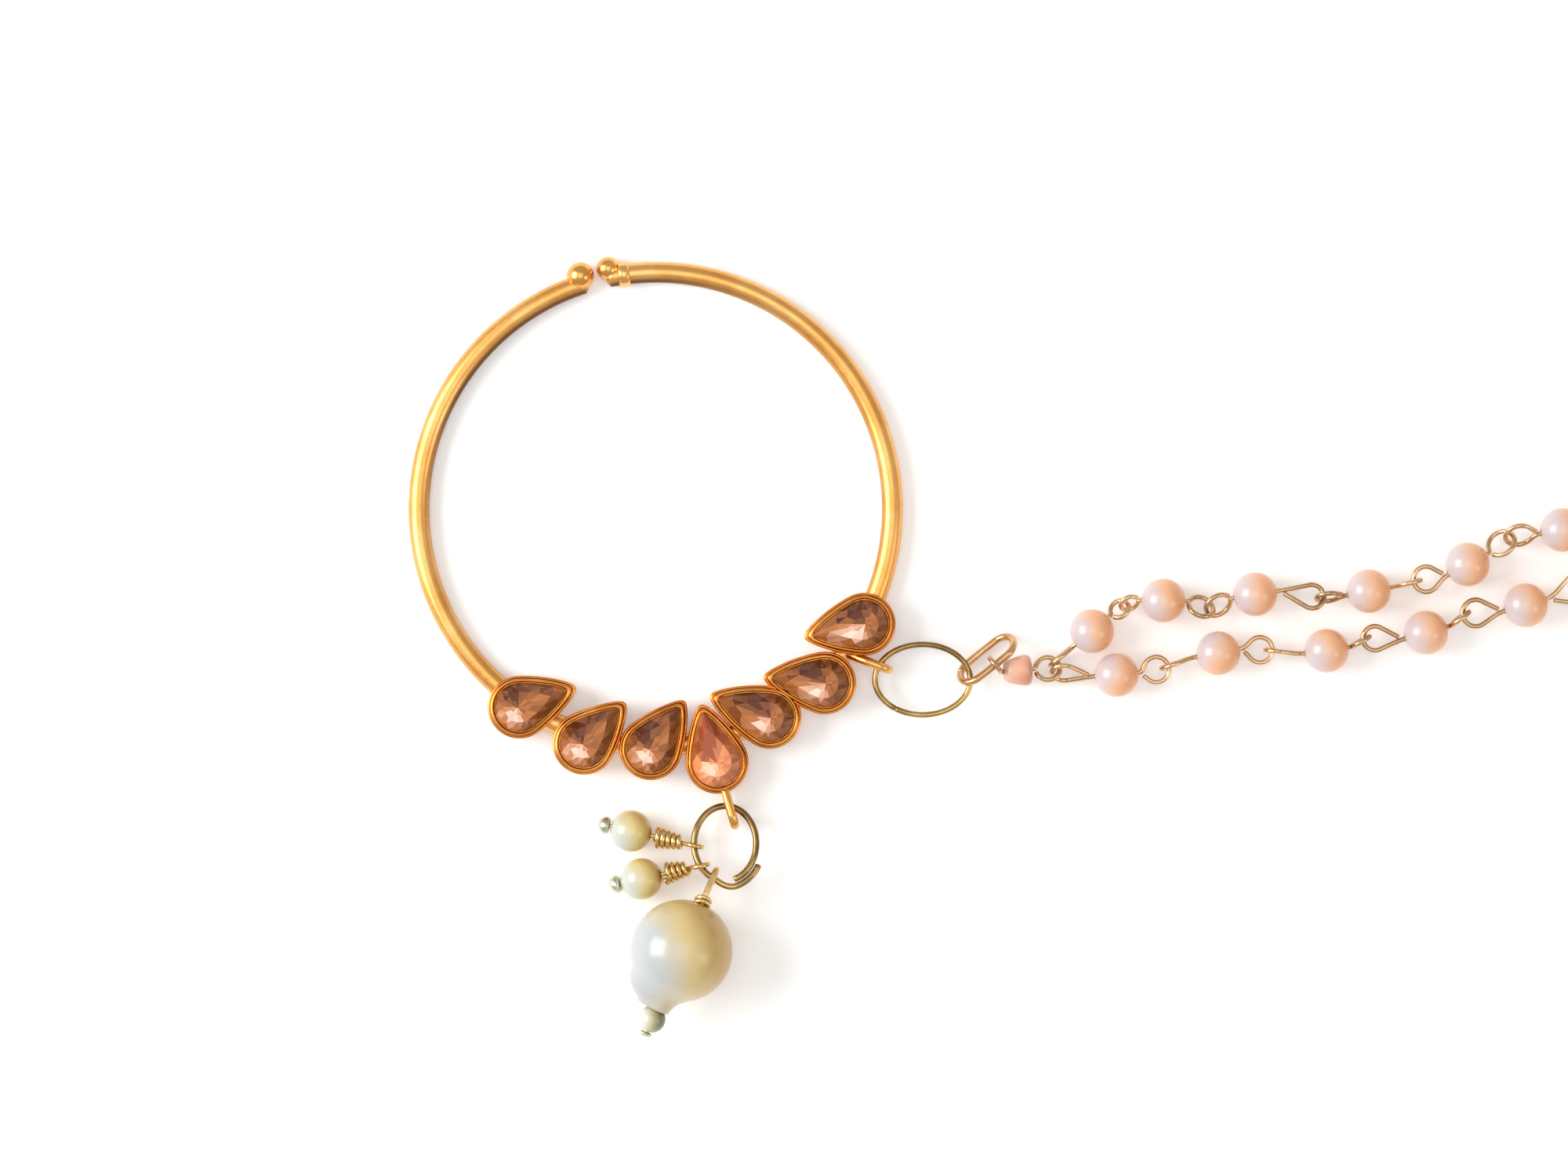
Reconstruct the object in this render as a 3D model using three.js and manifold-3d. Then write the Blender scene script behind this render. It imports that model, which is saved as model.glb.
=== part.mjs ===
// Hoop nose ring with seven pear-shaped stones, a three-pearl drop and a two-strand pearl chain, lying flat.
// Millimetres. +X runs along the chain, +Y up the picture, +Z up from the surface that it lies on.
import * as THREE from 'three';
import { mergeVertices } from 'three/addons/utils/BufferGeometryUtils.js';
import Module from 'manifold-3d';

const wasm = await Module();
wasm.setup();

// Clearances
const TOUCH_GAP = 0.3;
const BORE_GAP = 0.12;
const PIN_BORE_GAP = 0.2;
const SEAT_GAP = 0.12;
const LOOP_GAP = 0.2;
const COIL_GAP = 0.05;
const COIL_SPREAD = 0.4;

// Hoop
const HOOP_RADIUS = 21.55;
const HOOP_WIRE = 0.95;
const OPENING_ANGLE = 104.3;
const LEFT_BALL = 1.24;
const RIGHT_BALL = 1.07;
const BALL_OFFSET = 0.75;
const BALL_JOIN_SHARE = 0.75;
const COLLAR_RADIUS = 1.12;
const COLLAR_LENGTH = 1.0;

// Cups and stones
const CUP_RADIUS = 2.85;
const CUP_SIDE_RADIUS = 14;
const CUP_BASE = 1.45;
const LEDGE_HEIGHT = 1.15;
const RIM_HEIGHT = 0.75;
const LEDGE_WIDTH = 0.26;
const RIM_WIDTH = 0.3;
const POCKET_DEPTH = 1.1;
const STONE_RISE = 0.95;
const TABLE_SHARE = 0.52;

// Eyes soldered to the hoop
const EYE_WIRE = 0.4;
const EYE_HALF_HEIGHT = 1.0;
const EYE_CLEARANCE = 0.45;
const EYE_LEG_SHARE = 0.55;
const EYE_SPREAD_SHARE = 0.9;
const DROP_EYE_LENGTH = 3.9;
const DROP_HOLD_SHARE = 0.62;
const CHAIN_EYE_LENGTH = 4.75;
const CHAIN_EYE_ANGLE = -37.3;
const CHAIN_EYE_TURN = -21;

// Drop ring: its ends run past each other from OVERLAP_START to OVERLAP_END at the lower right
const DROP_RING_WIRE = 0.3;
const DROP_RING_WIDTH = 2.82;
const DROP_RING_LENGTH = 3.42;
const DROP_RING_TILT = 11;
const DROP_RING_TOP_ANGLE = 82;
const DROP_RING_HOLD_ANGLE = 247;
const OVERLAP_START_ANGLE = -72;
const OVERLAP_END_ANGLE = -30;
const OVERLAP_RAMP_ANGLE = 24;

// Chain ring and oval link
const SLIT_SHARE = 1.5;
const CHAIN_RING_WIRE = 0.27;
const CHAIN_RING_WIDTH = 4.33;
const CHAIN_RING_HEIGHT = 3.2;
const CHAIN_RING_HOLD_ANGLE = 157;
const CHAIN_RING_EXIT_ANGLE = 10;
const CHAIN_RING_SLIT_ANGLE = 235;
const OVAL_WIRE = 0.34;
const OVAL_LENGTH = 2.95;
const OVAL_WIDTH = 1.45;
const OVAL_ROLL = -56;
const OVAL_TURN = 39;
const OVAL_SLIT_ANGLE = 140;
const FIRST_HOLD_SHARE = 0.08;

// Drop pearls
const DROP_PEARL = 4.63;
const DROP_TAIL = 6.45;
const TAIL_LEAVE_ANGLE = 128;
const TAIL_MOUTH_SHARE = 0.7;
const TAIL_SWELL = 1.35;
const TAIL_SWELL_SHARE = 0.6;
const DROP_PIN_WIRE = 0.3;
const DROP_BORE = DROP_PIN_WIRE + PIN_BORE_GAP;
const DROP_NECK_SHARE = 0.5;
const DROP_HEAD = 0.66;
const END_BEAD = 1.25;
const END_BEAD_SEAT_SHARE = 0.8;
const END_BEAD_HEAD_SHARE = 0.93;
const SMALL_PEARL = 1.9;
const SMALL_PIN_WIRE = 0.22;
const SMALL_BORE = SMALL_PIN_WIRE + PIN_BORE_GAP;
const SMALL_HEAD = 0.85;
const SMALL_HEAD_LENGTH = 1.1;
const PIN_LOOP = 0.85;
const SMALL_LOOP_SHARE = 0.85;

// Chain
const CHAIN_PEARL = 2;
const CHAIN_WIRE = 0.23;
const CHAIN_BORE = CHAIN_WIRE + BORE_GAP;
const CHAIN_LOOP = 1.1;
const LOOP_ROOM_SHARE = 2.1;
const FIRST_BEAD_RADIUS = 1.45;
const FIRST_BEAD_LENGTH = 2.6;
const FIRST_BEAD_TURN = 4;
const FIRST_BACK_SHARE = 0.7;
const FIRST_LOOP_ROLL = -22;
const UPPER_HOLD_ANGLE = 42;
const LOWER_HOLD_ANGLE = -25;

// Plain end past the photo's edge
const END_RING = 3.6;
const END_RING_WIRE = 0.4;
const END_RING_TURN = -12;
const END_RING_SLIT_ANGLE = 60;
const JOINING_WIRE = 0.3;
const JOINING_HEIGHT = 1.25;
const JOINING_SLIT_ANGLE = 90;
const HOOK_WIRE = 0.45;
const HOOK_EYE = 1.15;
const HOOK_LENGTH = 11;
const HOOK_BEND = 2.2;
const HOOK_RETURN_SHARE = 0.62;
const HOOK_CLOSE_SHARE = 0.8;

// Sides and steps of the meshes
const WIRE_SIDES = 5;
const HOOP_SIDES = 12;
const COLLAR_SIDES = 10;
const EYE_SIDES = 6;
const HOOK_SIDES = 6;
const HEAD_SIDES = 10;
const BEAD_SIDES = 12;
const DROP_PEARL_SIDES = 16;
const BALL_RINGS = 8;
const HOOP_STEPS = 64;
const COLLAR_STEPS = 2;
const PEAR_ROUND_STEPS = 12;
const PEAR_SIDE_STEPS = 3;
const STONE_ROUND_STEPS = 9;
const STONE_SIDE_STEPS = 2;
const SOLDERED_EYE_STEPS = 8;
const RING_STEPS = 26;
const OVAL_STEPS = 20;
const END_RING_STEPS = 24;
const JOINING_STEPS = 16;
const HOOK_STEPS = 10;
const LOOP_STEPS = 10;
const PIN_LOOP_STEPS = 9;
const COIL_STEPS = 8;
const DROP_PEARL_STEPS = 9;
const SMALL_PEARL_STEPS = 7;
const BEAD_STEPS = 6;

// Seven cups: angle on the hoop, offset of the cup from the wire's circle as a share of the cup radius,
// direction of the tip, and length from the cup's centre to its tip as a share of the cup radius.
const CUPS = [
  { at: -124.4, out: 0.1, tip: 19.3, reach: 2.04 },
  { at: -106.9, out: 0.25, tip: 44.5, reach: 1.97 },
  { at: -91.1, out: 0.08, tip: 54.7, reach: 1.99 },
  { at: -76.3, out: 0.75, tip: 105.6, reach: 2.05, holdsDrop: true },
  { at: -61.2, out: 0.02, tip: 159.9, reach: 2.18 },
  { at: -45.8, out: 0.18, tip: 174.6, reach: 2.1 },
  { at: -28.9, out: 0.04, tip: 192.4, reach: 2.1 },
];

// Places of the drop's pearls from the root of the drop's eye, and where the small ones hang on the ring.
const DROP_PEARL_AT = [-3.85, -14.59];
const SMALL_DROPS = [
  { at: [-8.5, -3.9], hold: 183 },
  { at: [-7.55, -8.25], hold: 217 },
];

// The large pearl's tail past the ball: share of the way to its mouth, and share of the ball's width there.
const TAIL_ROWS = [
  { reach: 0.3, width: 0.76 },
  { reach: 0.55, width: 0.5 },
  { reach: 1, width: 0.32 },
];

// The first bead's outline: width as a share of its radius, place as a share of its length.
const FIRST_BEAD_ROWS = [
  { width: 0.46, place: -0.5 },
  { width: 0.74, place: -0.36 },
  { width: 1, place: 0.25 },
  { width: 0.9, place: 0.46 },
  { width: 0.5, place: 0.5 },
];

// The two strands, link by link, from the root of the chain's eye: roll in degrees and size as a share of
// CHAIN_LOOP of the loop that starts the link, its pearl's place, the same for the loop that ends it, and
// the place of the joint at that end.
const link = (start, pearl, end, joint) => ({
  startRoll: start[0],
  startSize: start[1],
  pearl,
  endRoll: end[0],
  endSize: end[1],
  joint,
});
const FIRST_BEAD_AT = [15.76, -1.69];
const UPPER_LINKS = [
  link([90, 0.95], [22.53, 1.95], [-38, 1], [25.46, 4.31]),
  link([48, 1], [29.01, 4.73], [-44, 1.2], [33.21, 3.86]),
  link([46, 1.2], [37.35, 5.3], [-14, 1], [43.26, 4.96]),
  link([70, 0.95], [47.67, 5.58], [90, 0.95], [52.06, 6.51]),
  link([0, 1.05], [56.65, 8.0], [-42, 1.15], [60.41, 10.56]),
  link([48, 1.15], [65.27, 11.14], [90, 1], [69.86, 11.76]),
];
const LOWER_LINKS = [
  link([52, 1.02], [24.74, -2.04], [0, 1.05], [29.16, -1.34]),
  link([90, 0.95], [34.0, -0.05], [0, 1.05], [38.61, 0.21]),
  link([90, 0.95], [43.83, 0.17], [90, 0.95], [47.46, 1.31]),
  link([0, 1], [52.87, 1.81], [90, 0.95], [56.51, 3.51]),
  link([0, 1.1], [61.92, 4.3], [0, 1.2], [67.26, 6.01]),
];

const GOLD = new THREE.MeshStandardMaterial({ color: 0xe0a850, roughness: 0.22, metalness: 1 });
const PALE_GOLD = new THREE.MeshStandardMaterial({ color: 0xe3c088, roughness: 0.25, metalness: 1 });
const DARK_GOLD = new THREE.MeshStandardMaterial({ color: 0xb08a4c, roughness: 0.3, metalness: 1 });
const STONE = new THREE.MeshStandardMaterial({ color: 0xaf734b, roughness: 0.08, metalness: 0 });
const CREAM = new THREE.MeshStandardMaterial({ color: 0xece2bd, roughness: 0.25, metalness: 0 });
const PEACH = new THREE.MeshStandardMaterial({ color: 0xecc3a6, roughness: 0.28, metalness: 0 });

const radians = THREE.MathUtils.degToRad;
const degreesFor = (length, radius) => THREE.MathUtils.radToDeg(length / radius);
const vector = (x, y, z = 0) => new THREE.Vector3(x, y, z);
const heading = (degrees) => vector(Math.cos(radians(degrees)), Math.sin(radians(degrees)));
const along = (start, direction, length) => start.clone().addScaledVector(direction, length);
const between = (from, to) => to.clone().sub(from).normalize();
const RIGHT = vector(1, 0);
const BACK = vector(0, 1);
const UP = vector(0, 0, 1);
const HOOP_CENTRE = vector(0, 0);

const BALL_CIRCLE = HOOP_RADIUS + BALL_OFFSET;
const HOOP_HEIGHT = HOOP_WIRE * Math.cos(Math.PI / HOOP_SIDES);
const LEFT_BALL_ANGLE = OPENING_ANGLE + degreesFor(LEFT_BALL + TOUCH_GAP / 2, BALL_CIRCLE);
const RIGHT_BALL_ANGLE = OPENING_ANGLE - degreesFor(RIGHT_BALL + TOUCH_GAP / 2, BALL_CIRCLE);
const LEDGE_TOP = CUP_BASE + LEDGE_HEIGHT;
const RIM_TOP = LEDGE_TOP + RIM_HEIGHT;
const POCKET_FLOOR = RIM_TOP - POCKET_DEPTH;
const POCKET_INSET = LEDGE_WIDTH + RIM_WIDTH;
const EYE_HEIGHT = EYE_HALF_HEIGHT + EYE_WIRE + EYE_CLEARANCE;

// A bent wire's centre line: it passes through each of its points in turn.
class WireRoute extends THREE.Curve {
  constructor(points) {
    super();
    this.points = points;
  }

  getPoint(share) {
    const last = this.points.length - 1;
    return this.points[Math.min(last, Math.round(share * last))].clone();
  }

  getPointAt(share) {
    return this.getPoint(share);
  }

  getTangentAt(share) {
    const last = this.points.length - 1;
    const here = Math.min(last, Math.round(share * last));
    const tangent = vector(0, 0);
    if (here > 0) {
      tangent.add(between(this.points[here - 1], this.points[here]));
    }
    if (here < last) {
      tangent.add(between(this.points[here], this.points[here + 1]));
    }
    return tangent.normalize();
  }
}

function ringSection(radius, sides) {
  const corners = [];
  for (let side = 0; side < sides; side += 1) {
    const angle = ((side + 0.5) / sides) * 2 * Math.PI;
    corners.push(new THREE.Vector2(radius * Math.cos(angle), radius * Math.sin(angle)));
  }
  return new THREE.Shape(corners);
}

function wire(points, radius, sides = WIRE_SIDES) {
  return new THREE.ExtrudeGeometry(ringSection(radius, sides), {
    steps: points.length - 1,
    extrudePath: new WireRoute(points),
  });
}

function toSolid(geometry) {
  const bare = geometry.clone();
  bare.deleteAttribute('normal');
  bare.deleteAttribute('uv');
  const merged = mergeVertices(bare, 1e-4);
  return new wasm.Manifold(new wasm.Mesh({
    numProp: 3,
    vertProperties: new Float32Array(merged.attributes.position.array),
    triVerts: new Uint32Array(merged.index.array),
  }));
}

function toGeometry(solid) {
  const mesh = solid.getMesh();
  const geometry = new THREE.BufferGeometry();
  geometry.setAttribute('position', new THREE.BufferAttribute(new Float32Array(mesh.vertProperties), 3));
  geometry.setIndex(new THREE.BufferAttribute(new Uint32Array(mesh.triVerts), 1));
  geometry.computeVertexNormals();
  return geometry;
}

// A direction across a wire's direction. A roll of 0 is level, and 90 is as upright as it can be.
function rolled(direction, roll) {
  const side = new THREE.Vector3().crossVectors(UP, direction).normalize();
  const top = new THREE.Vector3().crossVectors(direction, side).normalize();
  return side.multiplyScalar(Math.cos(radians(roll))).addScaledVector(top, Math.sin(radians(roll)));
}

// A round eye bent at a wire's end, from its neck out and back to just short of the neck.
// The room between the neck and the far side limits its radius.
function eyeLoop(neck, direction, across, far, wantedRadius, wireRadius, steps) {
  const radius = Math.min(wantedRadius, far.distanceTo(neck) / LOOP_ROOM_SHARE);
  const centre = along(far, direction, -radius);
  const opening = Math.acos(THREE.MathUtils.clamp(radius / centre.distanceTo(neck), -1, 1));
  const points = [];
  for (let step = 0; step <= steps; step += 1) {
    const angle = Math.PI - opening - ((2 * Math.PI - 2 * opening) * step) / steps;
    const point = along(centre, direction, radius * Math.cos(angle));
    points.push(point.addScaledVector(across, radius * Math.sin(angle)));
  }
  const legsAngle = Math.PI - 2 * opening;
  const clear = (2 * wireRadius + LOOP_GAP) / Math.sin(Math.min(Math.PI / 2, legsAngle));
  const last = points[points.length - 1];
  const room = last.distanceTo(neck);
  if (room > clear + wireRadius) {
    points.push(along(last, between(last, neck), room - clear));
  }
  return points;
}

// Where a loop's far side lies when it passes round another wire at a joint.
const passing = (joint, direction, ownWire, otherWire) => (
  along(joint, direction, ownWire + otherWire + LOOP_GAP)
);

// A coil wound about a stem of the same wire, from a start on its axis back along the axis, widening as it goes.
function coilPoints(start, axis, across, wireRadius, length) {
  const side = new THREE.Vector3().crossVectors(axis, across).normalize();
  const pitch = 2 * wireRadius + COIL_GAP;
  const count = Math.floor((length / pitch) * COIL_STEPS);
  const points = [];
  for (let step = 0; step <= count; step += 1) {
    const angle = (step / COIL_STEPS) * 2 * Math.PI;
    const radius = pitch + (COIL_SPREAD * step) / count;
    const point = along(start, axis, (-pitch * step) / COIL_STEPS);
    point.addScaledVector(across, -radius * Math.cos(angle));
    points.push(point.addScaledVector(side, radius * Math.sin(angle)));
  }
  return points;
}

// An open ring with a slit, round or oval. With straight sides its ends are half rounds.
function openOval(centre, direction, across, halfLong, halfWide, slitAt, steps, straight = false) {
  const slit = degreesFor(TOUCH_GAP, Math.min(halfLong, halfWide)) * SLIT_SHARE;
  const points = [];
  for (let step = 0; step <= steps; step += 1) {
    const angle = radians(slitAt + slit / 2 + ((360 - slit) * step) / steps);
    const slide = (halfLong - halfWide) * THREE.MathUtils.clamp(4 * Math.cos(angle), -1, 1);
    const reach = straight ? slide + halfWide * Math.cos(angle) : halfLong * Math.cos(angle);
    const point = along(centre, direction, reach);
    points.push(point.addScaledVector(across, halfWide * Math.sin(angle)));
  }
  return points;
}

// A drilled bead: half of its outline by height along the bore, closed along the bore's wall.
function drilledBead(outline, bore, sides = BEAD_SIDES) {
  const profile = [new THREE.Vector2(bore, outline[0].y)];
  profile.push(...outline);
  profile.push(new THREE.Vector2(bore, outline[outline.length - 1].y));
  profile.push(profile[0].clone());
  return new THREE.LatheGeometry(profile, sides);
}

// Turns a lathed bead, made about +Y, so that its bore runs along a direction with a flat side down,
// and moves it to its place.
function aimBead(geometry, direction, centre) {
  const side = new THREE.Vector3().crossVectors(direction, UP).normalize();
  const top = new THREE.Vector3().crossVectors(side, direction).normalize();
  geometry.applyMatrix4(new THREE.Matrix4().makeBasis(top, direction, side.negate()));
  return geometry.translate(...centre.toArray());
}

function roundOutline(radius, bore, steps) {
  const outline = [];
  const start = Math.asin(Math.min(0.9, (bore * 1.25) / radius));
  for (let step = 0; step <= steps; step += 1) {
    const angle = start + ((Math.PI - 2 * start) * step) / steps;
    outline.push(new THREE.Vector2(radius * Math.sin(angle), -radius * Math.cos(angle)));
  }
  return outline;
}

// The large pearl is a ball drawn out to a short tail.
function tailOutline() {
  const outline = [];
  const start = Math.asin((DROP_BORE * 1.2) / DROP_PEARL);
  const leave = radians(TAIL_LEAVE_ANGLE);
  for (let step = 0; step <= DROP_PEARL_STEPS; step += 1) {
    const angle = start + ((leave - start) * step) / DROP_PEARL_STEPS;
    outline.push(new THREE.Vector2(DROP_PEARL * Math.sin(angle), -DROP_PEARL * Math.cos(angle)));
  }
  const shoulder = outline[outline.length - 1];
  const room = DROP_TAIL - END_BEAD * TAIL_MOUTH_SHARE - shoulder.y;
  for (const row of TAIL_ROWS) {
    outline.push(new THREE.Vector2(shoulder.x * row.width, shoulder.y + room * row.reach));
  }
  return outline;
}

// The tail swells to one side only, so the pearl's left outline runs straight down from the ball.
function swellTail(geometry) {
  const shoulder = -DROP_PEARL * Math.cos(radians(TAIL_LEAVE_ANGLE));
  const mouth = DROP_TAIL - END_BEAD * TAIL_MOUTH_SHARE;
  const places = geometry.attributes.position;
  for (let index = 0; index < places.count; index += 1) {
    const across = places.getZ(index);
    const width = Math.hypot(places.getX(index), across);
    if (width > DROP_BORE + TOUCH_GAP / 3) {
      const reach = THREE.MathUtils.clamp((places.getY(index) - shoulder) / (mouth - shoulder), 0, 1);
      const swell = TAIL_SWELL * Math.sin(reach * Math.PI * TAIL_SWELL_SHARE);
      places.setZ(index, across - swell * Math.max(0, -across / width));
    }
  }
  return geometry;
}

// Pear outline about its broad end's centre, tip along +X, moved in by an inset.
function pearOutline(reach, inset, roundSteps, sideSteps) {
  const bulge = CUP_SIDE_RADIUS - CUP_RADIUS;
  const cosine = (2 * CUP_SIDE_RADIUS * CUP_RADIUS - CUP_RADIUS ** 2 - reach ** 2) / (2 * reach * bulge);
  const turn = Math.acos(THREE.MathUtils.clamp(cosine, -0.9, 0.9));
  const sideX = -bulge * Math.cos(turn);
  const sideY = -bulge * Math.sin(turn);
  const sideRadius = CUP_SIDE_RADIUS - inset;
  const tipAngle = Math.asin(-sideY / sideRadius);
  const upper = [];
  for (let step = 0; step < sideSteps; step += 1) {
    const angle = tipAngle + ((turn - tipAngle) * step) / sideSteps;
    upper.push(new THREE.Vector2(sideX + sideRadius * Math.cos(angle), sideY + sideRadius * Math.sin(angle)));
  }
  upper[0].y = 0;
  const radius = CUP_RADIUS - inset;
  const round = [];
  for (let step = 0; step <= roundSteps; step += 1) {
    const angle = turn + ((2 * Math.PI - 2 * turn) * step) / roundSteps;
    round.push(new THREE.Vector2(radius * Math.cos(angle), radius * Math.sin(angle)));
  }
  const lower = upper.slice(1).reverse().map((point) => new THREE.Vector2(point.x, -point.y));
  return [...upper, ...round, ...lower];
}

function pearPlate(cup, inset, bottom, height) {
  const outline = pearOutline(cup.reach * CUP_RADIUS, inset, PEAR_ROUND_STEPS, PEAR_SIDE_STEPS);
  const plate = new THREE.ExtrudeGeometry(new THREE.Shape(outline), { depth: height, bevelEnabled: false });
  return toSolid(plate.translate(0, 0, bottom).applyMatrix4(cupPlace(cup)));
}

function cupCentre(cup) {
  return along(HOOP_CENTRE, heading(cup.at), HOOP_RADIUS + cup.out * CUP_RADIUS);
}

function cupPlace(cup) {
  const turned = new THREE.Matrix4().makeRotationZ(radians(cup.tip));
  return new THREE.Matrix4().makeTranslation(cupCentre(cup)).multiply(turned);
}

function cupBody(cup) {
  const ledge = pearPlate(cup, 0, CUP_BASE, LEDGE_HEIGHT);
  const rim = pearPlate(cup, LEDGE_WIDTH, CUP_BASE, LEDGE_HEIGHT + RIM_HEIGHT);
  return ledge.add(rim);
}

// A flat-backed pear stone: girdle wall, a crown of facets and a flat table.
function stoneGeometry(cup) {
  const inset = POCKET_INSET + SEAT_GAP;
  const girdle = pearOutline(cup.reach * CUP_RADIUS, inset, STONE_ROUND_STEPS, STONE_SIDE_STEPS);
  const count = girdle.length;
  const bottom = POCKET_FLOOR + SEAT_GAP;
  const tableTop = RIM_TOP + STONE_RISE;
  const middle = girdle.reduce((sum, point) => sum.add(point), new THREE.Vector2()).divideScalar(count);
  const positions = [];
  const level = (point, height) => [point.x, point.y, height];
  const low = girdle.map((point) => level(point, bottom));
  const edge = girdle.map((point) => level(point, RIM_TOP - SEAT_GAP));
  const table = girdle.map((point, index) => {
    const halfway = point.clone().lerp(girdle[(index + 1) % count], 0.5);
    return level(middle.clone().lerp(halfway, TABLE_SHARE), tableTop);
  });
  const face = (a, b, c) => positions.push(...a, ...b, ...c);
  const under = level(middle, bottom);
  const over = level(middle, tableTop);
  for (let index = 0; index < count; index += 1) {
    const next = (index + 1) % count;
    face(low[index], low[next], edge[next]);
    face(low[index], edge[next], edge[index]);
    face(edge[index], edge[next], table[index]);
    face(table[index], edge[next], table[next]);
    face(under, low[next], low[index]);
    face(over, table[index], table[next]);
  }
  const geometry = new THREE.BufferGeometry();
  geometry.setAttribute('position', new THREE.Float32BufferAttribute(positions, 3));
  geometry.computeVertexNormals();
  return geometry.applyMatrix4(cupPlace(cup));
}

// A soldered eye in an upright plane: two legs from its root, joined by a round end.
function solderedEye(eye, length, rootHeight) {
  const round = EYE_HALF_HEIGHT;
  const straight = length - EYE_WIRE - round;
  const point = (reach, height) => along(eye.root, eye.direction, reach).setZ(height);
  const legReach = straight * EYE_LEG_SHARE;
  const legSpread = round * EYE_SPREAD_SHARE;
  const points = [point(0, rootHeight + EYE_WIRE / 2), point(legReach, EYE_HEIGHT + legSpread)];
  for (let step = 0; step <= SOLDERED_EYE_STEPS; step += 1) {
    const angle = Math.PI / 2 - (Math.PI * step) / SOLDERED_EYE_STEPS;
    points.push(point(straight + round * Math.cos(angle), EYE_HEIGHT + round * Math.sin(angle)));
  }
  points.push(point(legReach, EYE_HEIGHT - legSpread), point(0, rootHeight - EYE_WIRE / 2));
  return toSolid(wire(points, EYE_WIRE, EYE_SIDES));
}

function ballAt(angle, radius) {
  const centre = along(HOOP_CENTRE, heading(angle), BALL_CIRCLE).setZ(radius);
  const ball = new THREE.SphereGeometry(radius, BEAD_SIDES, BALL_RINGS).rotateX(Math.PI / 2);
  return toSolid(ball.translate(...centre.toArray()));
}

function hoopArc(from, to, steps, height) {
  const points = [];
  for (let step = 0; step <= steps; step += 1) {
    const angle = from + ((to - from) * step) / steps;
    points.push(along(HOOP_CENTRE, heading(angle), HOOP_RADIUS).setZ(height));
  }
  return points;
}

const dropCup = CUPS.find((cup) => cup.holdsDrop);
const dropDirection = heading(dropCup.tip + 180);
const dropEye = {
  root: along(cupCentre(dropCup), dropDirection, CUP_RADIUS - EYE_WIRE),
  direction: dropDirection,
};
const chainEye = {
  root: along(HOOP_CENTRE, heading(CHAIN_EYE_ANGLE), HOOP_RADIUS),
  direction: heading(CHAIN_EYE_TURN),
};

function buildHoop() {
  const arc = hoopArc(LEFT_BALL_ANGLE, RIGHT_BALL_ANGLE + 360, HOOP_STEPS, HOOP_HEIGHT);
  let metal = toSolid(wire(arc, HOOP_WIRE, HOOP_SIDES));
  const collarEnd = RIGHT_BALL_ANGLE - degreesFor(RIGHT_BALL * BALL_JOIN_SHARE, HOOP_RADIUS);
  const collarStart = collarEnd - degreesFor(COLLAR_LENGTH, HOOP_RADIUS);
  const collar = hoopArc(collarStart, collarEnd, COLLAR_STEPS, COLLAR_RADIUS);
  metal = metal.add(toSolid(wire(collar, COLLAR_RADIUS, COLLAR_SIDES)));
  metal = metal.add(ballAt(LEFT_BALL_ANGLE, LEFT_BALL));
  metal = metal.add(ballAt(RIGHT_BALL_ANGLE, RIGHT_BALL));
  metal = metal.add(solderedEye(dropEye, DROP_EYE_LENGTH, LEDGE_TOP - EYE_WIRE));
  metal = metal.add(solderedEye(chainEye, CHAIN_EYE_LENGTH, HOOP_HEIGHT));
  for (const cup of CUPS) {
    metal = metal.add(cupBody(cup));
  }
  for (const cup of CUPS) {
    metal = metal.subtract(pearPlate(cup, POCKET_INSET, POCKET_FLOOR, POCKET_DEPTH + STONE_RISE));
  }
  return toGeometry(metal);
}

const group = new THREE.Group();

function addPiece(name, geometry, material) {
  const mesh = new THREE.Mesh(geometry, material);
  mesh.name = name;
  group.add(mesh);
}

addPiece('nose_hoop', buildHoop(), GOLD);
CUPS.forEach((cup, index) => addPiece(`stone_${index + 1}`, stoneGeometry(cup), STONE));

// Drop ring
const dropRingLong = vector(0, -Math.cos(radians(DROP_RING_TILT)), Math.sin(radians(DROP_RING_TILT)));

function dropRingPoint(centre, angle) {
  const rampStart = 360 + OVERLAP_START_ANGLE - OVERLAP_RAMP_ANGLE;
  const share = THREE.MathUtils.clamp((angle - rampStart) / OVERLAP_RAMP_ANGLE, 0, 1);
  const offset = share * (2 * DROP_RING_WIRE + LOOP_GAP);
  const right = (DROP_RING_WIDTH + offset) * Math.cos(radians(angle));
  const down = -(DROP_RING_LENGTH + offset) * Math.sin(radians(angle));
  return centre.clone().addScaledVector(RIGHT, right).addScaledVector(dropRingLong, down);
}

const dropEyeReach = (DROP_EYE_LENGTH - 2 * EYE_WIRE - DROP_RING_WIRE) * DROP_HOLD_SHARE;
const dropEyeMiddle = along(dropEye.root, dropEye.direction, dropEyeReach).setZ(EYE_HEIGHT);
const dropRingCentre = dropEyeMiddle.clone().sub(dropRingPoint(vector(0, 0), DROP_RING_TOP_ANGLE));
const dropRingPoints = [];
for (let step = 0; step <= RING_STEPS; step += 1) {
  const sweep = 360 + OVERLAP_END_ANGLE - OVERLAP_START_ANGLE;
  dropRingPoints.push(dropRingPoint(dropRingCentre, OVERLAP_START_ANGLE + (sweep * step) / RING_STEPS));
}
addPiece('drop_ring', wire(dropRingPoints, DROP_RING_WIRE), DARK_GOLD);

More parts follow.
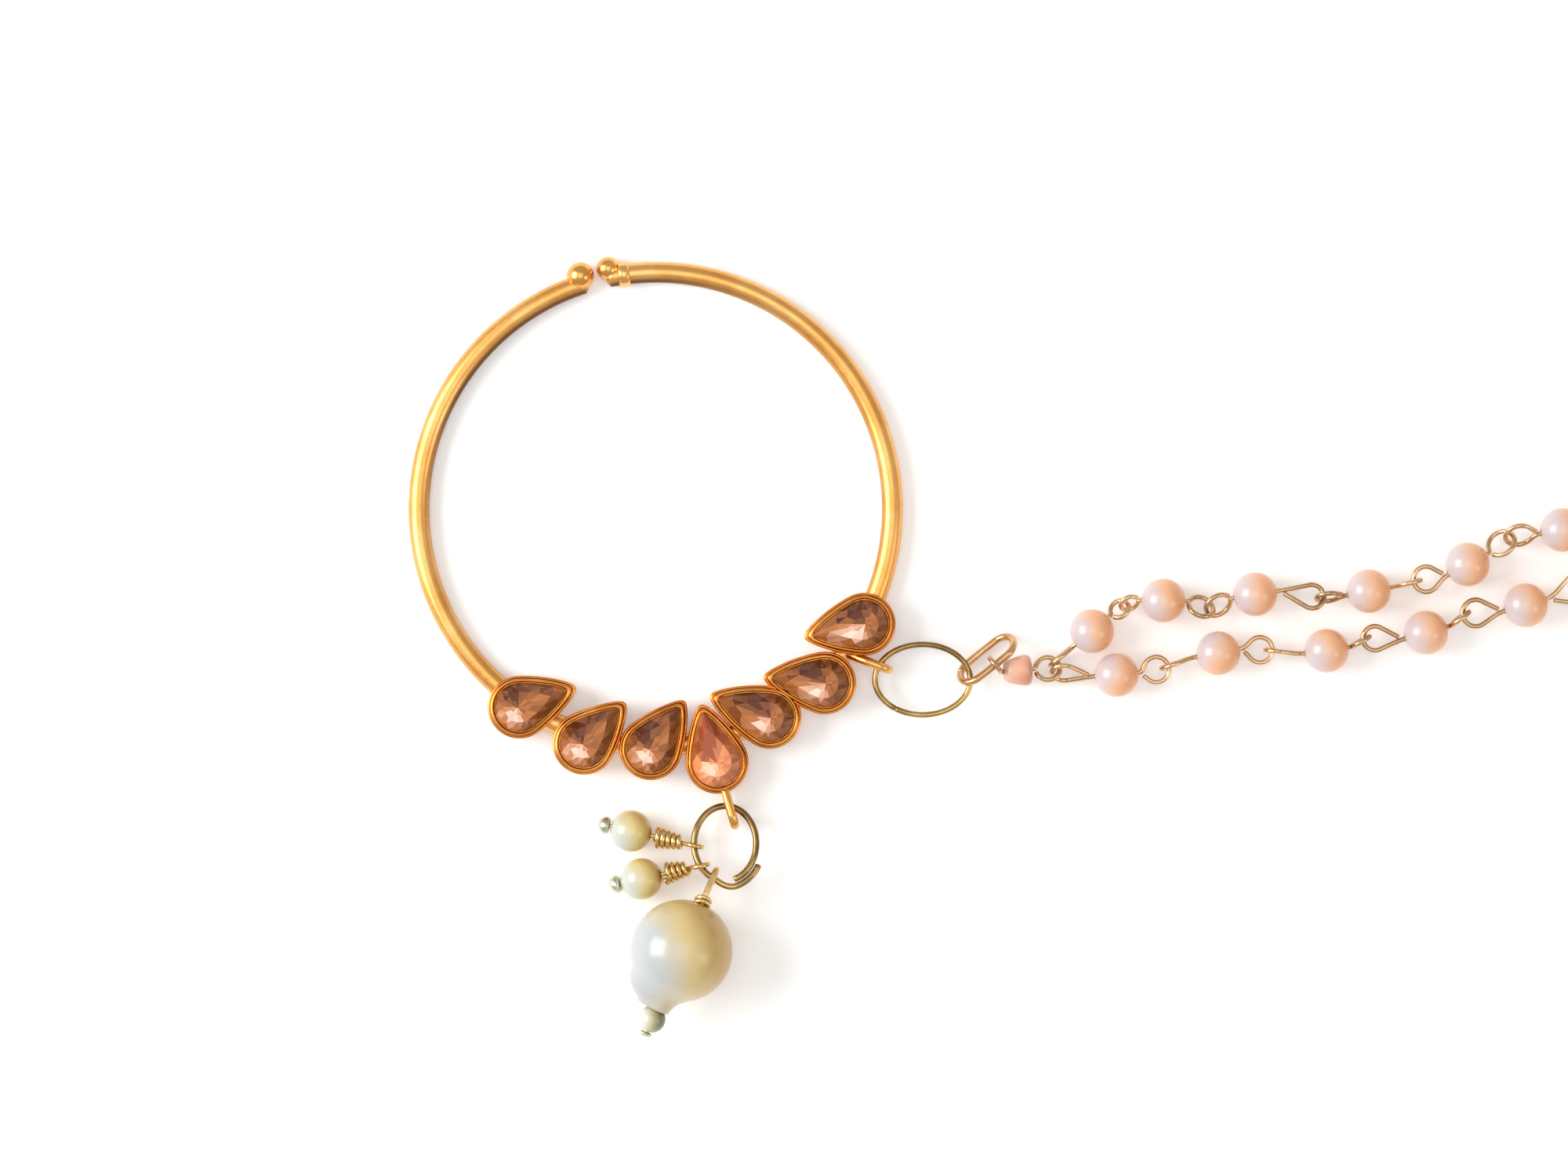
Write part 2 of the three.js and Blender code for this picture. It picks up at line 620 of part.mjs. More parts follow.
// Large pearl, its end bead and their pin
const fromDropEye = (place, height) => vector(dropEye.root.x + place[0], dropEye.root.y + place[1], height);
const dropHold = dropRingPoint(dropRingCentre, DROP_RING_HOLD_ANGLE);
const dropPearlCentre = fromDropEye(DROP_PEARL_AT, DROP_PEARL);
const dropAxis = between(dropPearlCentre, dropHold).setZ(0).normalize();
const dropBack = dropAxis.clone().negate();
const dropPearl = swellTail(drilledBead(tailOutline(), DROP_BORE, DROP_PEARL_SIDES));
addPiece('drop_pearl', aimBead(dropPearl, dropBack, dropPearlCentre), CREAM);

const tailEnd = along(dropPearlCentre, dropBack, DROP_TAIL - END_BEAD * TAIL_MOUTH_SHARE);
const endBeadCentre = along(tailEnd, dropBack, END_BEAD * END_BEAD_SEAT_SHARE + TOUCH_GAP / 2);
const endBead = drilledBead(roundOutline(END_BEAD, DROP_BORE, BEAD_STEPS), DROP_BORE);
addPiece('drop_end_bead', aimBead(endBead, dropBack, endBeadCentre), CREAM);

const dropNeck = along(dropPearlCentre, dropAxis, DROP_PEARL + DROP_PIN_WIRE * DROP_NECK_SHARE);
const dropLoopAxis = between(dropNeck, dropHold);
const dropLoop = eyeLoop(
  dropNeck,
  dropLoopAxis,
  rolled(dropLoopAxis, 90),
  passing(dropHold, dropLoopAxis, DROP_PIN_WIRE, DROP_RING_WIRE),
  PIN_LOOP,
  DROP_PIN_WIRE,
  PIN_LOOP_STEPS,
);
const dropPinEnd = along(endBeadCentre, dropBack, END_BEAD + DROP_PIN_WIRE);
const dropStem = toSolid(wire([dropPinEnd, dropPearlCentre, dropNeck, ...dropLoop], DROP_PIN_WIRE));
const dropHeadStart = along(endBeadCentre, dropBack, END_BEAD * END_BEAD_HEAD_SHARE + TOUCH_GAP / 3);
const dropHeadEnd = along(dropPinEnd, dropBack, DROP_PIN_WIRE);
const dropHead = toSolid(wire([dropHeadStart, dropHeadEnd], DROP_HEAD, HEAD_SIDES));
addPiece('drop_pin', toGeometry(dropStem.add(dropHead)), PALE_GOLD);

// Two small pearls on coiled pins
SMALL_DROPS.forEach((drop, index) => {
  const pearl = fromDropEye(drop.at, SMALL_PEARL);
  const hold = dropRingPoint(dropRingCentre, drop.hold);
  const axis = between(pearl, hold);
  const back = axis.clone().negate();
  const bead = drilledBead(roundOutline(SMALL_PEARL, SMALL_BORE, SMALL_PEARL_STEPS), SMALL_BORE);
  addPiece(`small_pearl_${index + 1}`, aimBead(bead, back, pearl), CREAM);
  const far = passing(hold, axis, SMALL_PIN_WIRE, DROP_RING_WIRE);
  const loop = PIN_LOOP * SMALL_LOOP_SHARE;
  const neck = along(far, axis, -2 * loop - SMALL_PIN_WIRE * 2);
  const headStart = along(pearl, back, SMALL_PEARL + TOUCH_GAP / 3);
  const headEnd = along(headStart, back, SMALL_HEAD_LENGTH);
  const points = [along(headStart, back, SMALL_HEAD_LENGTH / 2), pearl, neck];
  const across = rolled(axis, 90);
  points.push(...eyeLoop(neck, axis, across, far, loop, SMALL_PIN_WIRE, PIN_LOOP_STEPS).slice(0, -1));
  const coilLength = neck.distanceTo(pearl) - SMALL_PEARL - SMALL_PIN_WIRE - TOUCH_GAP / 2;
  points.push(...coilPoints(neck, axis, across, SMALL_PIN_WIRE, coilLength));
  const stem = toSolid(wire(points, SMALL_PIN_WIRE));
  const head = toSolid(wire([headStart, headEnd], SMALL_HEAD, HEAD_SIDES));
  addPiece(`small_pin_${index + 1}`, toGeometry(stem.add(head)), PALE_GOLD);
});

// Chain ring and oval link
function chainRingPoint(centre, angle) {
  const x = centre.x + CHAIN_RING_WIDTH * Math.cos(radians(angle));
  const y = centre.y + CHAIN_RING_HEIGHT * Math.sin(radians(angle));
  return vector(x, y, centre.z);
}

const chainEyeReach = CHAIN_EYE_LENGTH - 2 * EYE_WIRE - CHAIN_RING_WIRE - TOUCH_GAP;
const chainHold = along(chainEye.root, chainEye.direction, chainEyeReach).setZ(EYE_HEIGHT);
const chainRingCentre = chainHold.clone().sub(chainRingPoint(vector(0, 0), CHAIN_RING_HOLD_ANGLE));
const chainRingPoints = openOval(
  chainRingCentre,
  RIGHT,
  BACK,
  CHAIN_RING_WIDTH,
  CHAIN_RING_HEIGHT,
  CHAIN_RING_SLIT_ANGLE,
  RING_STEPS,
);
addPiece('chain_ring', wire(chainRingPoints, CHAIN_RING_WIRE), DARK_GOLD);

const ovalAxis = heading(OVAL_TURN);
const ovalAcross = rolled(ovalAxis, OVAL_ROLL);
const ovalHold = chainRingPoint(chainRingCentre, CHAIN_RING_EXIT_ANGLE);
const ovalCentre = along(ovalHold, ovalAxis, OVAL_LENGTH - OVAL_WIRE - CHAIN_RING_WIRE - TOUCH_GAP);
const ovalPoints = openOval(
  ovalCentre,
  ovalAxis,
  ovalAcross,
  OVAL_LENGTH,
  OVAL_WIDTH,
  OVAL_SLIT_ANGLE,
  OVAL_STEPS,
  true,
);
addPiece('oval_link', wire(ovalPoints, OVAL_WIRE), GOLD);

// First bead and its link
const fromChainEye = (place) => vector(chainEye.root.x + place[0], chainEye.root.y + place[1], CHAIN_PEARL);
const firstHold = along(ovalCentre, ovalAxis, OVAL_LENGTH * FIRST_HOLD_SHARE)
  .addScaledVector(ovalAcross, -OVAL_WIDTH);
const firstCentre = fromChainEye(FIRST_BEAD_AT);
const firstAxis = heading(FIRST_BEAD_TURN);
const firstOutline = FIRST_BEAD_ROWS.map((row) => (
  new THREE.Vector2(FIRST_BEAD_RADIUS * row.width, FIRST_BEAD_LENGTH * row.place)
));
addPiece('first_bead', aimBead(drilledBead(firstOutline, CHAIN_BORE), firstAxis, firstCentre), PEACH);

const firstNeck = along(firstCentre, firstAxis, FIRST_BEAD_LENGTH / 2 + CHAIN_WIRE);
const firstBack = along(firstCentre, firstAxis, -FIRST_BEAD_LENGTH / 2 - CHAIN_WIRE);
const firstBackAxis = between(firstBack, firstHold);
const firstBackLoop = eyeLoop(
  firstBack,
  firstBackAxis,
  new THREE.Vector3().crossVectors(ovalAxis, firstBackAxis).normalize(),
  passing(firstHold, firstBackAxis, CHAIN_WIRE, OVAL_WIRE),
  CHAIN_LOOP * FIRST_BACK_SHARE,
  CHAIN_WIRE,
  PIN_LOOP_STEPS,
);
const firstAcross = rolled(firstAxis, FIRST_LOOP_ROLL);
const firstFar = along(firstNeck, firstAxis, CHAIN_LOOP * 2 + CHAIN_WIRE / 2);
const firstLoop = eyeLoop(firstNeck, firstAxis, firstAcross, firstFar, CHAIN_LOOP, CHAIN_WIRE, LOOP_STEPS);
const firstPoints = [...firstBackLoop.reverse(), firstBack, firstCentre, firstNeck, ...firstLoop];
addPiece('first_link', wire(firstPoints, CHAIN_WIRE), PALE_GOLD);

function onFirstLoop(angle) {
  const centre = along(firstFar, firstAxis, -CHAIN_LOOP);
  return along(centre, firstAxis, CHAIN_LOOP * Math.cos(radians(angle)))
    .addScaledVector(firstAcross, CHAIN_LOOP * Math.sin(radians(angle)));
}

// The two strands of pearls
function linkEnd(pearl, axis, joint, roll, size, otherWire) {
  const neck = along(pearl, axis, CHAIN_PEARL + CHAIN_WIRE);
  const direction = between(neck, joint);
  const reach = otherWire === null ? CHAIN_WIRE + LOOP_GAP / 2 : CHAIN_WIRE + otherWire + LOOP_GAP;
  const far = along(joint, direction, reach);
  const across = rolled(direction, roll);
  return [neck, ...eyeLoop(neck, direction, across, far, CHAIN_LOOP * size, CHAIN_WIRE, LOOP_STEPS)];
}

function buildStrand(name, links, firstJoint, lastWire) {
  let start = firstJoint;
  links.forEach((row, index) => {
    const pearl = fromChainEye(row.pearl);
    const end = fromChainEye(row.joint);
    const axis = between(start, pearl).add(between(pearl, end)).setZ(0).normalize();
    const bead = drilledBead(roundOutline(CHAIN_PEARL, CHAIN_BORE, BEAD_STEPS), CHAIN_BORE);
    addPiece(`${name}_pearl_${index + 1}`, aimBead(bead, axis, pearl), PEACH);
    const startWire = index === 0 ? CHAIN_WIRE : null;
    const endWire = index === links.length - 1 ? lastWire : null;
    const back = linkEnd(pearl, axis.clone().negate(), start, -row.startRoll, row.startSize, startWire);
    const ahead = linkEnd(pearl, axis, end, row.endRoll, row.endSize, endWire);
    addPiece(`${name}_link_${index + 1}`, wire([...back.reverse(), pearl, ...ahead], CHAIN_WIRE), PALE_GOLD);
    start = end;
  });
  return start;
}

const upperEnd = buildStrand('upper', UPPER_LINKS, onFirstLoop(UPPER_HOLD_ANGLE), END_RING_WIRE);
const lowerEnd = buildStrand('lower', LOWER_LINKS, onFirstLoop(LOWER_HOLD_ANGLE), JOINING_WIRE);

// The plain end: a ring for both strands, a joining ring for the lower one, and a hook
const endCentre = along(upperEnd, heading(END_RING_TURN), END_RING);
const endPoints = openOval(endCentre, RIGHT, BACK, END_RING, END_RING, END_RING_SLIT_ANGLE, END_RING_STEPS);
addPiece('end_ring', wire(endPoints, END_RING_WIRE), GOLD);

const joiningAxis = between(lowerEnd, endCentre);
const joiningFar = along(endCentre, joiningAxis, -END_RING + END_RING_WIRE + JOINING_WIRE + LOOP_GAP);
const joiningPoints = openOval(
  lowerEnd.clone().lerp(joiningFar, 0.5),
  joiningAxis,
  UP,
  lowerEnd.distanceTo(joiningFar) / 2,
  JOINING_HEIGHT,
  JOINING_SLIT_ANGLE,
  JOINING_STEPS,
  true,
);
addPiece('joining_ring', wire(joiningPoints, JOINING_WIRE), PALE_GOLD);

const hookHold = along(endCentre, RIGHT, END_RING);
const hookFar = along(hookHold, RIGHT, -END_RING_WIRE - HOOK_WIRE - LOOP_GAP);
const hookNeck = along(hookFar, RIGHT, 2 * HOOK_EYE + HOOK_WIRE * 2);
const hookEye = eyeLoop(hookNeck, RIGHT.clone().negate(), UP, hookFar, HOOK_EYE, HOOK_WIRE, LOOP_STEPS);
const hookPoints = [...hookEye.reverse(), hookNeck];
const bendCentre = along(along(hookNeck, RIGHT, HOOK_LENGTH), BACK, -HOOK_BEND);
for (let step = 0; step <= HOOK_STEPS; step += 1) {
  const angle = Math.PI / 2 - (Math.PI * step) / HOOK_STEPS;
  const point = along(bendCentre, RIGHT, HOOK_BEND * Math.cos(angle));
  hookPoints.push(point.addScaledVector(BACK, HOOK_BEND * Math.sin(angle)));
}
const hookTip = along(bendCentre, RIGHT, -HOOK_LENGTH * HOOK_RETURN_SHARE);
hookPoints.push(hookTip.addScaledVector(BACK, -HOOK_BEND * HOOK_CLOSE_SHARE));
addPiece('hair_hook', wire(hookPoints, HOOK_WIRE, HOOK_SIDES), GOLD);

// The origin is under the middle of the whole part's box, on the surface.
group.updateMatrixWorld(true);
const box = new THREE.Box3().setFromObject(group, true);
const middle = box.getCenter(vector(0, 0));
group.position.set(-middle.x, -middle.y, -box.min.z);

export default group;
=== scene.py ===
"""The looks of a hoop nose ring with stones, a pearl drop and a two-strand pearl chain, lying flat."""
import math
import bpy
import bmesh
from mathutils import Matrix, Vector


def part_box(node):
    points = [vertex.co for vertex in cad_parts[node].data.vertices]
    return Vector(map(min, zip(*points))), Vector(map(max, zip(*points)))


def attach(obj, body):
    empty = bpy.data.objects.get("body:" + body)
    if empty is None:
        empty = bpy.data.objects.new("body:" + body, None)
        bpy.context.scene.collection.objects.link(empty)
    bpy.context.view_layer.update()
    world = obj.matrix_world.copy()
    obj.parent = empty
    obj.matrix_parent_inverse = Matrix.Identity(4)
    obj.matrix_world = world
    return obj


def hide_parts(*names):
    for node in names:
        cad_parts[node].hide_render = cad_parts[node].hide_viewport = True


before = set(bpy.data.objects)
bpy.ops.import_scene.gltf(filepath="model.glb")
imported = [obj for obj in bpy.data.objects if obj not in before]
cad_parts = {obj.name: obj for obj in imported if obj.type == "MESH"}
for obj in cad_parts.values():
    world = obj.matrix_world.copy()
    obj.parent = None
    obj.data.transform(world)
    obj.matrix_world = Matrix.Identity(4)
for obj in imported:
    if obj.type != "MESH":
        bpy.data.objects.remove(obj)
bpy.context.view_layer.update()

MM = 0.001
UP = Vector((0, 0, 1))
RIGHT = Vector((1, 0, 0))
NORTH = Vector((0, 1, 0))

# Fineness of the meshes
HOOP_STEPS = 260
RING_STEPS = 110
ARC_STEPS = 24
CUP_ROUND_STEPS = 56
CUP_SIDE_STEPS = 22
STONE_ROUND_STEPS = 10
STONE_SIDE_STEPS = 3
RIM_STEPS = 6
TAIL_BALL_STEPS = 30
TAIL_STEPS = 16
HEAD_STEPS = 8

# Clearances, as in the part
TOUCH_GAP = 0.3
BORE_GAP = 0.12
SEAT_GAP = 0.12
LOOP_GAP = 0.2
CLOSED_SHARE = 0.8
VISIBLE_SLIT = 0.12
EYE_ROOM = 2.1

# Rounded cut end of a wire, as shares of its radius: how far it reaches past the cut, and its flat end
CUT_REACH = 0.35
CUT_WIDTH = 0.62

# Hoop
HOOP_RADIUS = 21.55
HOOP_WIRE = 0.95
PART_WIRE_SIDES = 12
OPENING_ANGLE = 104.3
LEFT_BALL = 1.24
RIGHT_BALL = 1.07
BALL_OFFSET = 0.75
BALL_TIP = 0.02
COLLAR_RADIUS = 1.12
COLLAR_LENGTH = 1.0
COLLAR_EDGE_SHARE = 0.9
COLLAR_FLAT_SHARE = 0.7
COLLAR_INNER_SHARE = 0.6
COLLAR_BALL_SHARE = 0.75

# Painted shade on the hoop's inner side: where it starts across the wire and how far it spreads along it
INNER_SHADE_START = 0.52
INNER_SHADE_BLEND = 0.28
INNER_SHADE_ANGLE = 120
INNER_SHADE_SPREAD = 75
INNER_SHADE_FADE = 45
INNER_SHADE_LEAST = 0.3

# Cups and stones
CUP_RADIUS = 2.85
CUP_SIDE_RADIUS = 14
CUP_BASE = 1.45
LEDGE_HEIGHT = 1.15
RIM_HEIGHT = 0.75
LEDGE_WIDTH = 0.26
RIM_WIDTH = 0.3
POCKET_DEPTH = 1.1
STONE_RISE = 0.95
TABLE_SHARE = 0.62
CUP_FOOT_SHARE = 0.4
GROOVE_SHARE = 1.6
STONE_SIDE_SHARE = 0.6
TIP_PASSES = 12
TIP_POINTS = 4
GIRDLE_FOOT_SHARE = 0.97
CROWN_SHARE = 0.83
CROWN_HEIGHT_SHARE = 0.6
CULET_BACK = 0.4
# Painted light on the stones' facets: the side of the broad painted highlight, the line of the painted glow,
# the glow's strength, the highlight's and glow's shares, and how the facets' painted flicker steps and turns
# from stone to stone
STONE_LIGHT_ANGLE = 250
STONE_GLOW_ANGLE = 215
STONE_GLOW = 0.36
STONE_LIGHT_SHARE = 0.32
STONE_GLOW_SHARE = 0.22
FLICKER_STEP = 2.4
FLICKER_TURN = 1.7

# Painted tone of each kind of facet, standing in for the light and reflections of a foiled stone: what is
# always there, and shares of the painted glow at its place and of its flicker
FACETS = {
    "side": dict(base=0.1, glow=0, flicker=0),
    "lower": dict(base=0.12, glow=0.4, flicker=0.1),
    "kite": dict(base=0, glow=0.62, flicker=0.08),
    "star": dict(base=0, glow=0.8, flicker=-0.1),
    "table": dict(base=0, glow=1, flicker=0.07),
    "spoke": dict(base=0.1, glow=0.75, flicker=-0.12),
    "back": dict(base=0.2, glow=0, flicker=0),
}

# Eyes soldered to the hoop
EYE_WIRE = 0.4
DROP_EYE_LENGTH = 3.9
CHAIN_EYE_LENGTH = 4.75
EYE_HALF_HEIGHT = 1.0
CHAIN_EYE_ANGLE = -37.3
CHAIN_EYE_TURN = -21
EYE_LIFT = 0.45
EYE_HEIGHT = EYE_HALF_HEIGHT + EYE_WIRE + EYE_LIFT
EYE_BEND_SHARE = 0.55
EYE_BEND_HEIGHT_SHARE = 0.9

# Rings between the hoop, the drop and the chain
DROP_RING_WIRE = 0.3
DROP_RING_WIDTH = 2.82
DROP_RING_LENGTH = 3.42
DROP_RING_TILT = 11
DROP_RING_TOP = 82
DROP_RING_HOLD = 247
DROP_RING_REACH_SHARE = 0.62
OVERLAP_START = -72
OVERLAP_END = -30
OVERLAP_RAMP = 44
OVERLAP_GAP = 0.06
CHAIN_RING_WIRE = 0.27
CHAIN_RING_WIDTH = 4.33
CHAIN_RING_HEIGHT = 3.2
CHAIN_RING_HOLD = 157
CHAIN_RING_EXIT = 10
CHAIN_RING_SLIT_ANGLE = 235
OVAL_WIRE = 0.34
OVAL_LENGTH = 2.95
OVAL_WIDTH = 1.45
OVAL_ROLL = -56
OVAL_TURN = 39
OVAL_SLIT_ANGLE = 140
FIRST_HOLD_SHARE = 0.08
STRAIGHT_SIDE = 4

# Drop pearls; the large one's place is measured from the hoop's centre
DROP_PEARL_AT = (2.42, -39.96)
DROP_PEARL = 4.63
DROP_TAIL = 6.45
TAIL_LEAVE = 128
TAIL_SWELL = 1.35
TAIL_SWELL_SHARE = 0.76
TAIL_SWELL_POWER = 1.6
TAIL_LEAN = -0.15
TAIL_PULL = 1.25
TAIL_ARRIVES = (-0.2, 0.98)
TAIL_MOUTH_SHARE = 0.27
END_BEAD = 1.25
END_BEAD_HEAD_SHARE = 0.93
TAIL_MOUTH_BACK_SHARE = 0.7
TAIL_MOUTH = DROP_TAIL - END_BEAD * TAIL_MOUTH_BACK_SHARE
DROP_BORE = 0.5
BORE_START_SHARE = 1.12
DROP_BORE_START_SHARE = 1.2
BORE_CHAMFER = 0.06
WRAP_WIRE = 0.2
WRAP_LENGTH = 0.9
WRAP_START_SHARE = 0.12
WRAP_WIDENING = 0.35
DROP_PIN_WIRE = 0.3
DROP_HEAD_SHARE = 2.2
DROP_HEAD_LENGTH_SHARE = 1.6
SMALL_PEARL = 1.9
SMALL_BORE = 0.42
SMALL_PIN_WIRE = 0.22
SMALL_HEAD = 0.85
SMALL_HEAD_LENGTH = 1.1
PIN_LOOP = 0.85
SMALL_LOOP_SHARE = 0.85
PIN_HEAD_TIP = 0.03
PIN_HEAD_FOOT_SHARE = 0.8
PIN_HEAD_STEM_SHARE = 0.25
COIL_GAP = 0.05
COIL_SPREAD = 0.4
SMALL_HOLDS = (183, 217)

# Chain
CHAIN_PEARL = 2
CHAIN_WIRE = 0.23
CHAIN_BORE = CHAIN_WIRE + BORE_GAP
CHAIN_LOOP = 1.1
FIRST_BEAD_RADIUS = 1.45
FIRST_BEAD_LENGTH = 2.6
FIRST_BEAD_TURN = 4
FIRST_BACK_SHARE = 0.7
FIRST_LOOP_ROLL = -22
FIRST_LOOP_UPPER = 42
FIRST_LOOP_LOWER = -25
END_RING = 3.6
END_RING_WIRE = 0.4
END_RING_TURN = -12
END_RING_SLIT_ANGLE = 60
JOINING_WIRE = 0.3
JOINING_HEIGHT = 1.25
JOINING_SLIT_ANGLE = 90
HOOK_WIRE = 0.45
HOOK_EYE = 1.15
HOOK_LENGTH = 11
HOOK_BEND = 2.2
HOOK_RETURN_SHARE = 0.62
HOOK_LEAN_SHARE = 0.8

# Floor and lights; the lights point at a place measured from the hoop's centre
FLOOR_HALF = 600
FLOOR_DROP = 0.02
LIGHT_AIM = (20, -10, 0)
LIGHTS = [
    dict(name="overhead", at=(-32, 5, 900), size=(620, 620), energy=1.5, colour=(1, 0.98, 0.95)),
    dict(name="key", at=(-450, 60, 300), size=(320, 340), energy=2.4, colour=(1, 0.98, 0.95)),
    dict(name="fill", at=(420, -160, 360), size=(200, 260), energy=0.4, colour=(1, 0.97, 0.93)),
]

# The photograph's frame
PHOTO_SIZE = (2000, 1500)
PIXELS_PER_MM = 14.04
HOOP_PIXEL = (836, 649)

# Seven cups, as in the part: angle on the hoop, offset from the wire's circle as a share of the cup radius,
# direction of the tip, length to the tip as a share of the cup radius.
CUPS = [
    dict(at=-124.4, out=0.1, tip=19.3, reach=2.04),
    dict(at=-106.9, out=0.25, tip=44.5, reach=1.97),
    dict(at=-91.1, out=0.08, tip=54.7, reach=1.99),
    dict(at=-76.3, out=0.75, tip=105.6, reach=2.05),
    dict(at=-61.2, out=0.02, tip=159.9, reach=2.18),
    dict(at=-45.8, out=0.18, tip=174.6, reach=2.1),
    dict(at=-28.9, out=0.04, tip=192.4, reach=2.1),
]
LOWEST_CUP = 3

# Route of the two strands, as in the part: each joint, measured from the hoop's centre, with the roll and the
# size of the loop before it and of the loop after it. The first joint lies on the first bead's loop. The
# pearls' places are read from the frame, and the fourth upper pearl's place tells where the hoop's centre is.
FOURTH_PEARL_AT = (64.81, -7.48)
UPPER_ROUTE = [
    dict(after=(90, 0.95)),
    dict(joint=(42.6, -8.75), before=(-38, 1), after=(48, 1)),
    dict(joint=(50.35, -9.2), before=(-44, 1.2), after=(46, 1.2)),
    dict(joint=(60.4, -8.1), before=(-14, 1), after=(70, 0.95)),
    dict(joint=(69.2, -6.55), before=(90, 0.95), after=(0, 1.05)),
    dict(joint=(77.55, -2.5), before=(-42, 1.15), after=(48, 1.15)),
    dict(joint=(87.0, -1.3), before=(90, 1)),
]
LOWER_ROUTE = [
    dict(after=(52, 1.02)),
    dict(joint=(46.3, -14.4), before=(0, 1.05), after=(90, 0.95)),
    dict(joint=(55.75, -12.85), before=(0, 1.05), after=(90, 0.95)),
    dict(joint=(64.6, -11.75), before=(90, 0.95), after=(0, 1)),
    dict(joint=(73.65, -9.55), before=(90, 0.95), after=(0, 1.1)),
    dict(joint=(84.4, -7.05), before=(0, 1.2)),
]

# The rounded lip of the large pearl's tail: share of the mouth's radius, and how far past the mouth
TAIL_LIP = [(0.98, 0.12), (0.92, 0.23), (0.82, 0.26), (0.7, 0.17), (0.6, 0.04)]

# The first bead's outline: share of its radius, and share of its length from its middle
FIRST_BEAD_OUTLINE = [(0.46, -0.5), (0.74, -0.36), (1, 0.25), (0.9, 0.46), (0.5, 0.5)]

# The lit side of the pearls' painted light and shade, and how far one pearl may be turned from another, in
# degrees
PEARL_LIT_SIDE = (-0.9, 0.02, 0.38)
PEARL_LIGHT_TURN = 20


def node_centre(node):
    low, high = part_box(node)
    return (low + high) / 2 / MM


def heading(degrees):
    return Vector((math.cos(math.radians(degrees)), math.sin(math.radians(degrees)), 0))


def at_height(point, height):
    return Vector((point.x, point.y, height))


def between(start, end):
    return (end - start).normalized()


def rolled(direction, roll):
    side = UP.cross(direction).normalized()
    top = direction.cross(side).normalized()
    return side * math.cos(math.radians(roll)) + top * math.sin(math.radians(roll))


fourth = node_centre("upper_pearl_4")
HOOP_CENTRE = Vector((fourth.x - FOURTH_PEARL_AT[0], fourth.y - FOURTH_PEARL_AT[1], 0))
HOOP_HEIGHT = HOOP_WIRE * math.cos(math.pi / PART_WIRE_SIDES)


def spot(place, height):
    return Vector((HOOP_CENTRE.x + place[0], HOOP_CENTRE.y + place[1], height))


# Meshes
def finish_mesh(name, verts, faces, material, sharp=None, smooth=True):
    mesh = bpy.data.meshes.new(name)
    mesh.from_pydata([tuple(Vector(v) * MM) for v in verts], [], faces)
    mesh.validate()
    piece = bpy.data.objects.new(name, mesh)
    bpy.context.scene.collection.objects.link(piece)
    mesh.materials.append(material)
    if smooth:
        mesh.shade_smooth()
        if sharp is not None:
            mesh.set_sharp_from_angle(angle=math.radians(sharp))
    else:
        mesh.shade_flat()
    return piece


def place(piece, slot, *nodes):
    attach(piece, "root")
    if nodes:
        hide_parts(*nodes)


def smooth_route(points, passes=2):
    """A finer line through the same places, with its corners rounded."""
    line = [Vector(p) for p in points]
    for _ in range(passes):
        finer = [line[0]]
        for a, b in zip(line, line[1:]):
            finer.append(a.lerp(b, 0.25))
            finer.append(a.lerp(b, 0.75))
        finer.append(line[-1])
        line = finer
    return line


def tube_mesh(points, radius, sides):
    """A round wire along points, with rounded cut ends. Returns vertices and faces."""
    count = len(points)
    tangents = []
    for index in range(count):
        before = points[max(0, index - 1)]
        after = points[min(count - 1, index + 1)]
        tangents.append((after - before).normalized())
    normal = tangents[0].orthogonal().normalized()
    verts, faces, rows = [], [], []

    def add_row(centre, axis, width):
        row = []
        other = axis.cross(normal).normalized()
        for side in range(sides):
            angle = 2 * math.pi * side / sides
            verts.append(centre + (normal * math.cos(angle) + other * math.sin(angle)) * width)
            row.append(len(verts) - 1)
        rows.append(row)

    reach = radius * CUT_REACH
    add_row(points[0] - tangents[0] * reach, tangents[0], radius * CUT_WIDTH)
    for index, (point, axis) in enumerate(zip(points, tangents)):
        if index:
            turn = tangents[index - 1].rotation_difference(axis)
            normal = turn @ normal
            normal = (normal - axis * normal.dot(axis)).normalized()
        add_row(point, axis, radius)
    add_row(points[-1] + tangents[-1] * reach, tangents[-1], radius * CUT_WIDTH)
    for low, high in zip(rows, rows[1:]):
        for side in range(sides):
            after = (side + 1) % sides
            faces.append((low[side], low[after], high[after], high[side]))
    faces.append(tuple(reversed(rows[0])))
    faces.append(tuple(rows[-1]))
    return verts, faces


def wire(name, points, radius, material, sides=14):
    verts, faces = tube_mesh(points, radius, sides)
    return finish_mesh(name, verts, faces, material, sharp=50)


def lathe(name, profile, centre, axis, material, sides=56, sharp=60):
    """A turned bead: a closed profile of (radius, place along the axis), turned about the axis."""
    side = axis.orthogonal().normalized()
    other = axis.cross(side).normalized()
    verts, faces = [], []
    rows = len(profile)
    for step in range(sides):
        angle = 2 * math.pi * step / sides
        out = side * math.cos(angle) + other * math.sin(angle)
        for radius, reach in profile:
            verts.append(centre + axis * reach + out * radius)
    for step in range(sides):
        after = (step + 1) % sides
        for row in range(rows):
            up = (row + 1) % rows
            faces.append((step * rows + row, after * rows + row, after * rows + up, step * rows + up))
    piece = finish_mesh(name, verts, faces, material, sharp=sharp)
    # Every turned piece gets painted light and shade as its tone; the pearl and bead materials show it.
    give_painted_light(piece, centre * MM, name)
    return piece


def set_tones(piece, domain, tones):
    attribute = piece.data.attributes.new("tone", "FLOAT", domain)
    attribute.data.foreach_set("value", tones)


